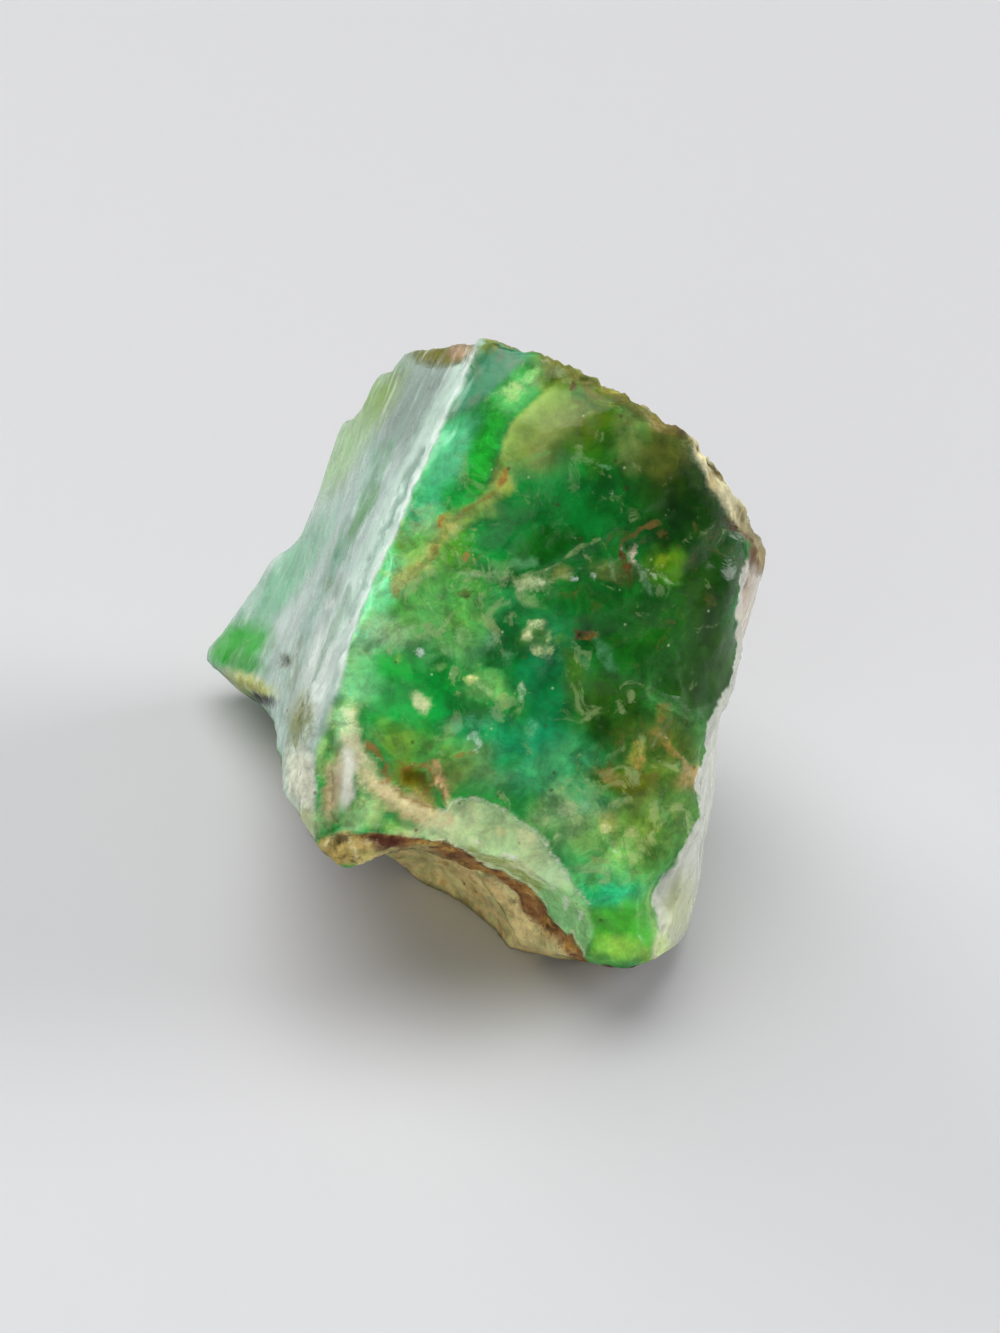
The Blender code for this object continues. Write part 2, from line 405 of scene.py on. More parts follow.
def uneven(points, normals):
    out = points.copy()
    for i, (p, n) in enumerate(zip(points, normals)):
        broad = noise.noise(Vector(p) / 7.5 + Vector((3.1, 0.7, 5.2)))
        small = noise.noise(Vector(p) / 2.4 + Vector((9.3, 4.4, 1.9)))
        rise = min(max(p[2] / 1.6 - 0.1, 0.0), 1.0)
        out[i] += n * (0.40 * broad + 0.14 * small) * rise
    return out


def rough_out():
    """The stone as its solid has it, on the fine grid."""
    obj = blank()
    mesh = resampled(obj, COARSE)
    points = worn(points_of(mesh), edges_of(mesh))
    for scar in SCARS.values():
        points = strike(points, scar)
    put(mesh, points)
    mesh = resampled(obj, FINE)
    ends = edges_of(mesh)
    put(mesh, settled(points_of(mesh), ends, STEP_ROUNDS))
    points = uneven(points_of(mesh), normals_of(mesh))
    put(mesh, rest(points, ends))
    return obj


# ------------------------------------------------- where each spot of it lies
FRONT = unit((0.36, -0.81, 0.46))
LEFT = unit((-0.92, -0.10, 0.37))
ASIDE = unit((0.97, -0.25, 0.05))
RIND = unit((0.35, 0.70, 0.63))


def in_sight(mesh, points, normals, eye):
    """1 where the eye sees the point, 0 where the stone hides it."""
    tree = BVHTree.FromPolygons(
        [Vector(p) for p in points], [tuple(f.vertices) for f in mesh.polygons]
    )
    away = points - eye
    away /= np.linalg.norm(away, axis=1)[:, None]
    faces_eye = -(away * normals).sum(1)
    seen = np.zeros(len(points))
    for i in np.flatnonzero(faces_eye > 0.02):
        start = Vector(points[i]) + Vector(normals[i]) * 0.25
        if tree.ray_cast(start, -Vector(away[i]), 200.0)[0] is None:
            seen[i] = 1.0
    return seen


def from_path(uv, path):
    """Distance in picture units from a line through the path's points."""
    near = np.full(len(uv), 1e9)
    for a, b in zip(path[:-1], path[1:]):
        a, b = np.array(a, float), np.array(b, float)
        t = np.clip((uv - a) @ (b - a) / ((b - a) @ (b - a)), 0, 1)
        near = np.minimum(near, np.linalg.norm(uv - a - t[:, None] * (b - a), axis=1))
    return near


def in_patch(uv, middle, size, turn=0.0):
    """Distance from the middle of an oval as a share of its half sizes."""
    c, s = np.cos(np.radians(turn)), np.sin(np.radians(turn))
    d = uv - np.array(middle, float)
    return np.hypot(
        (d[:, 0] * c + d[:, 1] * s) / size[0], (d[:, 1] * c - d[:, 0] * s) / size[1]
    )


def within(uv, outline):
    """1 inside the closed outline."""
    inside = np.zeros(len(uv), bool)
    x, y = uv[:, 0], uv[:, 1]
    for (ax, ay), (bx, by) in zip(outline, outline[1:] + outline[:1]):
        if ay == by:
            continue
        crosses = (y < ay) != (y < by)
        inside ^= crosses & (x < ax + (y - ay) * (bx - ax) / (by - ay))
    return inside.astype(float)


# ------------------------------------------------------- relief, spot by spot
CREST = [(537, 341), (570, 361), (581, 373), (605, 379), (626, 397), (640, 405)]
CREST += [(665, 420), (700, 440), (713, 460), (736, 508), (750, 525), (762, 543)]
RIDGE = [(482, 350), (475, 356), (449, 417), (428, 467), (395, 539), (372, 589)]
RIDGE += [(353, 640), (342, 686), (333, 730)]
SIDE_EDGE = [(766, 538), (752, 552), (738, 578), (735, 603), (733, 645), (726, 683)]
SIDE_EDGE += [(704, 728), (698, 763), (691, 782), (696, 814), (681, 849), (665, 871)]
SIDE_EDGE += [(657, 897), (659, 929), (650, 965)]
LIP_CREST = [(440, 812), (448, 803), (462, 799), (482, 801), (504, 810), (527, 826)]
LIP_CREST += [(544, 843), (558, 860), (567, 874), (576, 888), (590, 903)]
LOW_EDGE = [(361, 834), (378, 833), (398, 834), (415, 838), (437, 844), (454, 848)]
LOW_EDGE += [(476, 860), (502, 874), (524, 888), (538, 902), (549, 918), (561, 930)]
LOW_EDGE += [(575, 943), (583, 955)]
BEVEL = [(489, 338), (541, 341), (522, 362), (489, 396), (447, 425), (470, 372)]
WINDOW_EDGE = [(548, 388), (529, 405), (511, 422), (503, 442), (500, 464), (504, 484)]

# name: place in the picture, half sizes in picture units, turn, depth in mm
PITS = {
    "sparkling pit": ((631, 550), (7, 9), 20, 0.40),
    "red pit": ((584, 634), (8, 6), 0, 0.34),
    "brown pit": ((466, 596), (7, 5), 0, 0.22),
    "wing pit": ((284, 662), (8, 6), 20, 0.35),
    "hollow": ((417, 780), (19, 13), 25, 0.75),
    "hollow end": ((441, 797), (9, 6), 60, 0.35),
    "corner pit": ((735, 530), (11, 6), 40, 0.30),
    "vein pit": ((433, 555), (6, 5), 0, 0.20),
    "vein pit low": ((414, 574), (5, 5), 0, 0.18),
    "crest dent": ((583, 376), (8, 5), 30, 0.30),
}

# Shells on the face, each with one sharp side: place, half sizes, turn, depth in mm,
# and the way in the picture that the sharp side lies.
SCOOPS = {
    "emerald": ((562, 500), (112, 78), -8, 0.26, (0.1, 1.0)),
    "dark right": ((668, 500), (60, 84), -14, 0.18, (-0.4, 1.0)),
    "head": ((474, 452), (30, 84), 14, 0.14, (1.0, 0.2)),
    "arc": ((470, 768), (60, 52), -8, 0.20, (0.1, -1.0)),
    "arc inner": ((455, 774), (40, 34), -8, 0.12, (0.3, -1.0)),
    "teal": ((566, 690), (44, 96), 10, 0.16, (1.0, 0.2)),
    "right low": ((650, 790), (60, 66), 10, 0.18, (-0.2, 1.0)),
    "left": ((414, 680), (62, 54), 10, 0.18, (-0.7, -0.7)),
    "right": ((690, 630), (48, 84), 6, 0.16, (-0.2, 1.0)),
    "middle": ((520, 640), (56, 44), 20, 0.12, (-0.8, 0.5)),
    "toe": ((618, 930), (48, 40), 0, 0.14, (0.1, -1.0)),
}

# Small steps on the face: points in the picture, drop in mm, reach in picture units.
STEPS = {
    "vein": ([(505, 466), (499, 490), (470, 510), (445, 522)], 0.16, 30),
    "ochre": ([(445, 522), (435, 550), (412, 572), (394, 592)], 0.14, 22),
    "cloud": ([(465, 568), (500, 577), (540, 576), (570, 558), (600, 540)], -0.12, 26),
    "pit": ([(626, 548), (641, 530), (662, 520)], 0.12, 20),
    "rust": ([(652, 705), (664, 730), (684, 764)], 0.12, 24),
    "middle": ([(576, 596), (574, 640), (580, 690), (596, 740)], 0.08, 40),
    "low": ([(560, 790), (572, 820), (590, 846)], -0.10, 24),
    "olive": ([(676, 655), (684, 690), (672, 716)], 0.10, 26),
    "toe": ([(640, 880), (636, 905), (640, 930)], 0.10, 16),
}

# Grooves (below zero) and ribs along a path in the picture: height in mm, half width.
RIBS = {
    "rust groove": ([(331, 756), (328, 788), (326, 812), (331, 834)], -0.42, 6),
    "white rib": ([(344, 738), (344, 775), (343, 814)], 0.24, 11),
    "side groove": ([(358, 742), (357, 780), (354, 812)], -0.16, 5),
    "tan rib": ([(380, 788), (398, 804), (420, 818), (450, 822)], 0.14, 11),
    "spur": ([(431, 771), (437, 788), (446, 808)], 0.30, 6),
    "foot rib": ([(352, 824), (372, 830), (398, 832)], 0.14, 7),
    "left rib": ([(318, 690), (306, 735), (300, 790)], 0.22, 8),
    "left groove": ([(308, 700), (298, 740), (292, 775)], -0.26, 6),
    "ridge groove": ([(424, 452), (400, 504), (372, 566), (346, 628)], -0.10, 4),
    "streak groove": ([(384, 450), (366, 500), (340, 555), (316, 605)], -0.12, 9),
}

# Small flakes off the edges: place in the picture, facing, depth, radius in mm.
FLAKES = {
    "side bite": ((703, 752), (0.95, -0.30, 0.10), 0.55, 4.2),
    "side bite low": ((664, 890), (0.90, -0.42, 0.05), 0.60, 3.2),
    "side bite mid": ((694, 786), (0.92, -0.36, 0.10), 0.35, 1.8),
    "side bite top": ((741, 590), (0.95, -0.30, 0.10), 0.30, 2.2),
    "ridge nick": ((446, 425), (-0.55, -0.60, 0.58), 0.10, 2.4),
    "ridge nick low": ((381, 566), (-0.60, -0.60, 0.50), 0.10, 2.6),
    "ridge nick foot": ((344, 676), (-0.70, -0.60, 0.40), 0.15, 2.0),
    "crest flake": ((603, 384), (0.15, -0.35, 0.92), 0.25, 2.0),
    "crest flake right": ((668, 424), (0.35, -0.35, 0.87), 0.25, 2.4),
    "crest flake low": ((722, 484), (0.70, -0.35, 0.62), 0.25, 2.2),
    "step": ((480, 640), (0.30, -0.86, 0.40), 0.10, 14.0),
}

# Drawn-out spots: place, how far to move in picture units, reach in mm.
PULLS = {
    "knob": ((489, 349), (0, -12), 0.8),
    "left tip": ((222, 655), (-8, 0), 1.2),
    "left of the knob": ((466, 353), (2, 8), 1.0),
    "right of the knob": ((514, 350), (-1, 7), 1.1),
}


def pit_floor(r):
    return np.clip(1 - r * r, 0, 1) ** 1.5


def signed(uv, path):
    """As from_path, and positive on the right-hand side when walking the path."""
    near, side = np.full(len(uv), 1e9), np.ones(len(uv))
    for a, b in zip(path[:-1], path[1:]):
        a, b = np.array(a, float), np.array(b, float)
        t = np.clip((uv - a) @ (b - a) / ((b - a) @ (b - a)), 0, 1)
        d = uv - a - t[:, None] * (b - a)
        dist = np.linalg.norm(d, axis=1)
        closer = dist < near - 1e-6
        cross = (b - a)[0] * (uv - a)[:, 1] - (b - a)[1] * (uv - a)[:, 0]
        side = np.where(closer, np.sign(cross), side)
        near = np.where(closer, dist, near)
    return near * side


class Sites:
    """Where each point of the stone lies and what it belongs to."""

    def __init__(self, mesh):
        self.p = points_of(mesh)
        self.n = normals_of(mesh)
        self.ends = edges_of(mesh)
        many = np.full(len(self.p), 0.5)
        broad = averaged(self.n, self.ends, many, 12)
        self.broad = broad / np.linalg.norm(broad, axis=1)[:, None]
        turned = averaged(self.n, self.ends, many, 3)
        self.turned = turned / np.linalg.norm(turned, axis=1)[:, None]
        flip = np.array((1.0, 1.0, -1.0))
        self.uv = sheet(self.p)
        self.uv_below = sheet(self.p * flip)
        self.seen = self.soft(in_sight(mesh, self.p, self.n, EYE))
        self.seen_below = self.soft(in_sight(mesh, self.p, self.n, EYE * flip))
        self.front = ramp(self.broad @ FRONT, 0.62, 0.86)
        self.left = ramp(self.broad @ LEFT, 0.66, 0.86)
        self.aside = ramp(self.broad @ ASIDE, 0.66, 0.88)
        self.rind = ramp(self.broad @ RIND, 0.66, 0.86)
        self.under = ramp(-self.broad[:, 2], 0.25, 0.6)
        self.base = ramp(0.5 - self.p[:, 2], 0.0, 0.4) * ramp(-self.n[:, 2], 0.5, 0.9)
        a = layered(self.p, 3.0, 3, 5)
        b = layered(self.p, 3.0, 3, 6)
        c = layered(self.p, 0.8, 3, 7)
        d = layered(self.p, 0.8, 3, 8)
        self.near = self.uv + 4.5 * np.stack([c, d], 1)
        self.far = self.near + 13 * np.stack([a, b], 1)
        self.near_below = self.uv_below + 5 * np.stack([c, d], 1)
        self.far_below = self.near_below + 14 * np.stack([a, b], 1)

    def soft(self, mask, rounds=2):
        share = np.full(len(mask), 0.6)
        return averaged(mask[:, None], self.ends, share, rounds)[:, 0]


def along_ridge(points, share=0.86):
    """Points drawn together along the ridge, so that noise on them runs in streaks."""
    way = unit(np.array(CORNERS["knob"]) - np.array(CORNERS["ridge_foot"]))
    return points - share * (points @ way)[:, None] * way


def hit(tree, place):
    found = tree.ray_cast(Vector(EYE), sight(*place))
    return None if found[0] is None else np.array(found[0])


def flaked(mesh):
    """Takes the named flakes off the edges and draws out the named spots."""
    points = points_of(mesh)
    tree = BVHTree.FromPolygons(
        [Vector(p) for p in points], [tuple(f.vertices) for f in mesh.polygons]
    )
    for name, (place, facing, depth, radius) in FLAKES.items():
        spot = hit(tree, place)
        if spot is not None:
            points = strike(points, (spot, facing, depth, radius))
    for name, (place, way, reach) in PULLS.items():
        spot = hit(tree, place)
        if spot is not None:
            near = np.exp(-(np.linalg.norm(points - spot, axis=1) / reach) ** 2)
            move = (RIGHT * way[0] - UP * way[1]) * 0.055
            points = points + near[:, None] * move
    return points


def relief(s):
    """How far each point moves along its normal, in mm."""
    p, uv = s.p, s.uv
    seen = s.seen
    out = np.zeros(len(p))
    lift = smooth(p[:, 2] / 1.5)
    # the face: broad shallow ripples round the point where it was struck
    r = np.linalg.norm(p - np.array((-3.0, 1.0, 33.0)), axis=1)
    ripple = np.sin(r * 2.1 + 2.5 * layered(p, 6.0, 2, 11))
    out += 0.05 * ripple * s.front * ramp(r, 6, 14)
    out += 0.05 * layered(p, 1.3, 3, 12) * s.front
    for place, size, turn, depth, way in SCOOPS.values():
        r = in_patch(s.far, place, size, turn)
        t = np.clip(0.5 + 0.5 * (s.far - place) @ unit(way) / np.mean(size), 0, 1)
        out -= seen * s.front * depth * t**2.2 * (1 - ramp(r, 0.95, 1.03))
    out += s.front * (0.07 * np.abs(layered(p, 3.0, 3, 13)) + 0.05 * np.abs(layered(p, 1.1, 3, 14)))
    for path, drop, reach in STEPS.values():
        d = signed(s.near, path)
        fade = 1 - ramp(from_path(uv, path), 0.5 * reach, reach)
        out += seen * s.front * fade * drop * (ramp(d, -2.5, 2.5) - 0.5)
    # left face: hackles that run with the ridge, and a band along it that stands out
    q = along_ridge(p)
    hackles = layered(q, 1.5, 4, 21)
    fine = layered(q, 0.5, 2, 22)
    from_ridge = from_path(uv, RIDGE)
    lower = ramp(uv[:, 1], 640, 740)
    out += s.left * (0.09 * hackles + 0.04 * fine) * (1 + 1.6 * lower)
    band = seen * s.left * (1 - ramp(from_ridge + 5 * hackles, 24, 30))
    out += 0.16 * band
    # side face
    out += s.aside * (0.09 * layered(p, 2.6, 3, 31) + 0.03 * layered(q, 0.6, 2, 32))
    # rind: lumps with small warts
    lumps = 1 - np.abs(layered(p, 2.2, 3, 41)) * 1.6
    warts = layered(p, 0.7, 3, 42)
    out += s.rind * lift * (0.22 * lumps - 0.16 + 0.12 * warts)
    crest = 1 - ramp(from_path(uv, CREST), 5, 22)
    out += crest * (0.22 * layered(p, 1.4, 3, 43) + 0.15 * warts - 0.07)
    out -= 0.46 * (1 - ramp(from_path(uv, [(712, 446), (738, 488), (756, 520)]), 5, 22))
    # the rest of the back
    back = np.clip(1 - s.front - s.left - s.aside - s.rind - s.base, 0, 1)
    out += back * lift * 0.12 * layered(p, 2.0, 4, 51)
    # bevel at the head of the ridge
    bevel = s.soft(within(uv, BEVEL) * seen, 1)
    out -= bevel * 0.013 * np.clip(signed(uv, [(541, 341), (516, 367), (447, 423)]), 0, 60)
    # step beside the yellow window
    step = signed(uv, WINDOW_EDGE)
    reach = 1 - ramp(from_path(uv, WINDOW_EDGE), 18, 40)
    out += seen * s.front * reach * 0.10 * (ramp(step, -2.0, 2.0) - 0.5)
    # shell-shaped lip over the lower edge
    lip = signed(uv, LIP_CREST)
    below = ramp(lip, -2.0, 7.0) * (1 - ramp(lip, 30, 60)) * (from_path(uv, LIP_CREST) < 80)
    out -= seen * s.soft(below, 1) * 0.30
    out += seen * 0.07 * (1 - ramp(np.abs(lip), 1.0, 5.0)) * (from_path(uv, LIP_CREST) < 12)
    # brown strip below the lower edge, nub
    strip = signed(uv, LOW_EDGE)
    rough = seen * ramp(strip, 0, 5) * (from_path(uv, LOW_EDGE) < 60)
    out += rough * (0.16 * layered(p, 1.1, 3, 61) + 0.07 * wave(p, 0.35, 62) - 0.06)
    nub = seen * (1 - ramp(in_patch(uv, (346, 848), (34, 20), 0), 0.8, 1.2))
    out += nub * (0.20 * layered(p, 0.75, 3, 63) + 0.10)
    rag = seen * (1 - ramp(in_patch(uv, (305, 765), (26, 60), 0), 0.7, 1.2))
    out += rag * 0.16 * layered(q, 0.9, 3, 64)
    for place, size, turn, depth in PITS.values():
        out -= seen * depth * pit_floor(in_patch(s.near, place, size, turn))
    for path, height, half in RIBS.values():
        out += seen * height * np.clip(1 - (from_path(s.near, path) / half) ** 2, 0, 1)
    # the face keeps its plane up to the sharp right-hand edge
    side = signed(uv, SIDE_EDGE)
    rise = np.where(side > 0, 1 - ramp(side, 0, 44), 1 - ramp(-side, 0, 9))
    rise *= ramp(uv[:, 1], 540, 600) * (1 - ramp(uv[:, 1], 840, 900))
    out += seen * 0.42 * rise * (from_path(uv, SIDE_EDGE) < 60)
    # ragged edges
    for path, height, reach in ((SIDE_EDGE, 0.22, 9), (RIDGE, 0.07, 6), (LOW_EDGE, 0.16, 9)):
        near = seen * (1 - ramp(from_path(uv, path), 0.3 * reach, reach))
        out += near * height * layered(p, 1.0, 3, 65)
    # matrix below
    out += s.under * (1 - s.base) * lift * 0.16 * layered(p, 1.8, 4, 71)
    return out * np.where(p[:, 2] < 0.15, 0.0, 1.0) * smooth(p[:, 2] / 0.8)


# -------------------------------------------------------------------- colours
# The codes are how a place should look on the bench. LIGHT says, for each side of
# the stone, how much of the studio's light it gets and how much gloss lies on top.
LIGHT = {
    "face": (0.70, 0.006),
    "head": (0.90, 0.026),
    "left": (0.85, 0.10),
    "side": (0.62, 0.13),
    "shade": (0.44, 0.007),
    "bare": (1.0, 0.0),
}

# Clouds of the face: place, half sizes, turn, colour, strength, softness.
FACE_CLOUDS = {
    "emerald depths": ((585, 575), (130, 110), 0, "#135f22", 0.85, 0.7),
    "deep green": ((556, 508), (62, 44), -6, "#04772f", 0.97, 0.45),
    "deep green left": ((490, 545), (44, 22), -14, "#0f8236", 0.85, 0.5),
    "deep green right": ((618, 488), (38, 36), 10, "#12561e", 0.9, 0.5),
    "dark shoulder": ((690, 482), (50, 58), -30, "#2a420c", 0.97, 0.5),
    "dark under rind": ((722, 505), (11, 44), -28, "#1f2c0a", 0.6, 0.5),
    "dark right": ((672, 520), (46, 24), -20, "#163a12", 0.88, 0.5),
    "dark side": ((708, 580), (36, 60), 8, "#1f4010", 0.92, 0.5),
    "olive side": ((694, 662), (44, 66), 0, "#274c0c", 0.97, 0.55),
    "green right": ((642, 632), (48, 46), 0, "#1a5a16", 0.85, 0.6),
    "teal deep": ((592, 598), (34, 30), 0, "#08561f", 0.8, 0.6),
    "teal heart": ((548, 668), (34, 46), 0, "#047a4a", 0.9, 0.5),
    "teal pool": ((552, 708), (28, 46), 8, "#02703c", 0.97, 0.5),
    "teal pool low": ((520, 756), (70, 28), 4, "#1f8e5c", 0.9, 0.6),
    "grey green middle": ((470, 640), (52, 26), 0, "#64a662", 0.8, 0.6),
    "green middle": ((500, 612), (40, 26), 10, "#2c8b4a", 0.7, 0.6),
    "emerald left": ((408, 686), (48, 34), 4, "#079a3b", 0.97, 0.45),
    "green left": ((436, 610), (44, 30), -10, "#5aa148", 0.7, 0.6),
    "mottled left": ((428, 552), (32, 34), 25, "#7bab54", 0.85, 0.5),
    "mint left": ((374, 596), (17, 42), 24, "#62bd84", 0.95, 0.5),
    "mint pale": ((376, 640), (28, 20), 0, "#9ccc96", 0.85, 0.6),
    "mint ridge": ((356, 678), (15, 34), 14, "#a3d09b", 0.8, 0.6),
    "mint head": ((452, 452), (22, 44), 26, "#5cb884", 0.95, 0.5),
    "mint head low": ((425, 505), (16, 30), 28, "#52ba84", 0.85, 0.5),
    "bright head": ((484, 462), (15, 52), 12, "#28a332", 0.97, 0.4),
    "bright head low": ((458, 498), (22, 18), 40, "#2ba848", 0.85, 0.5),
    "bright head top": ((510, 386), (22, 22), 20, "#43a54c", 0.95, 0.5),
    "window dark": ((598, 428), (26, 36), 10, "#35600c", 0.97, 0.5),
    "grey pocket": ((632, 432), (16, 32), -4, "#6c7c42", 0.8, 0.5),
    "crest olive": ((558, 366), (26, 20), 28, "#717324", 0.92, 0.5),
    "crest olive mid": ((604, 388), (30, 13), 25, "#8a8c34", 0.9, 0.5),
    "crest brown": ((660, 424), (22, 12), 36, "#8a6c45", 0.8, 0.5),
    "crest brown low": ((664, 450), (26, 22), 30, "#535a26", 0.85, 0.5),
    "dusky low": ((566, 768), (44, 20), 0, "#4a9a5e", 0.7, 0.6),
    "mottled right": ((612, 712), (38, 40), 0, "#284f12", 0.95, 0.5),
    "rusty lower right": ((660, 752), (38, 32), 10, "#5f6a28", 0.85, 0.6),
    "olive low right": ((648, 815), (46, 46), 0, "#61873a", 0.9, 0.6),
    "khaki low": ((600, 850), (44, 26), 10, "#7ba559", 0.7, 0.6),
    "teal low": ((576, 800), (36, 26), 0, "#3d9a66", 0.75, 0.6),
    "green low": ((606, 880), (50, 20), 10, "#52ad68", 0.85, 0.6),
    "olive low left": ((398, 744), (26, 18), 20, "#628c30", 0.85, 0.5),
    "olive low middle": ((440, 752), (28, 16), 0, "#4f8f42", 0.7, 0.5),
    "teal toe": ((600, 890), (34, 12), -10, "#2fb177", 0.9, 0.5),
    "green toe": ((622, 926), (44, 24), 0, "#4ca636", 0.95, 0.5),
    # bright lime at the thin tip: stone colour with a painted glow of light through it
    "lime toe": ((628, 953), (32, 12), 0, "#86b84a", 0.9, 0.7),
    "knob": ((490, 341), (14, 10), 0, "#7b8a40", 0.95, 0.5),
    "pale toe": ((656, 922), (6, 34), -5, "#93ad6a", 0.5, 0.6),
    "crest corner left": ((545, 386), (14, 10), 20, "#6c8430", 0.8, 0.5),
    "deep core": ((542, 512), (36, 22), -6, "#006c2a", 0.97, 0.5),
    "deep low": ((545, 545), (38, 15), 0, "#04560f", 0.9, 0.5),
    "left green": ((451, 556), (18, 26), 10, "#357c1c", 0.85, 0.6),
    "yellow glow": ((664, 564), (18, 19), 15, "#587e10", 0.95, 0.75),
    "pit olive": ((620, 574), (26, 11), 0, "#626838", 0.7, 0.6),
    "teal left": ((508, 642), (17, 30), 0, "#04682a", 0.9, 0.6),
    "emerald left low": ((450, 664), (20, 15), 0, "#0c7f2d", 0.9, 0.6),
    "ridge foot mint": ((368, 676), (20, 30), 10, "#58ac68", 0.85, 0.6),
    "emerald left top": ((394, 662), (17, 18), 0, "#1a9a34", 0.9, 0.6),
    "low olive": ((480, 766), (26, 18), 0, "#6a9356", 0.8, 0.6),
    "low olive left": ((448, 776), (16, 16), 0, "#74823f", 0.85, 0.6),
    "rusty floor": ((622, 783), (40, 18), 0, "#4e5814", 0.92, 0.6),
    "khaki mid": ((560, 814), (28, 24), 0, "#96ad72", 0.85, 0.6),
    "left mint": ((388, 566), (13, 18), 20, "#60bd84", 0.9, 0.6),
    "teal left deep": ((511, 652), (20, 40), 0, "#00662a", 0.92, 0.5),
    "bits ground": ((484, 690), (20, 13), 0, "#56aa58", 0.8, 0.6),
    "emerald arc": ((446, 720), (20, 14), 0, "#138a38", 0.8, 0.6),
    "brown fold": ((573, 672), (13, 26), 0, "#3c6414", 0.85, 0.6),
    "pink floor": ((687, 778), (11, 15), 10, "#a88c58", 0.85, 0.6),
    "vein foot": ((486, 513), (18, 9), -10, "#6c9c48", 0.8, 0.6),
    "hollow floor": ((412, 778), (20, 12), 24, "#888014", 0.9, 0.5),
    "hollow lower": ((426, 798), (12, 8), 25, "#948a48", 0.85, 0.5),
    "blotch": ((610, 820), (13, 12), 0, "#98a258", 0.85, 0.6),
    "emerald low left": ((500, 760), (13, 10), 0, "#148a50", 0.85, 0.6),
    "under the leaf": ((420, 702), (7, 11), -35, "#b2d092", 0.9, 0.35),
    "ring haze": ((538, 638), (14, 14), 0, "#5f8e44", 0.7, 0.6),
    "bits haze": ((488, 688), (17, 12), 15, "#70b060", 0.65, 0.6),
}

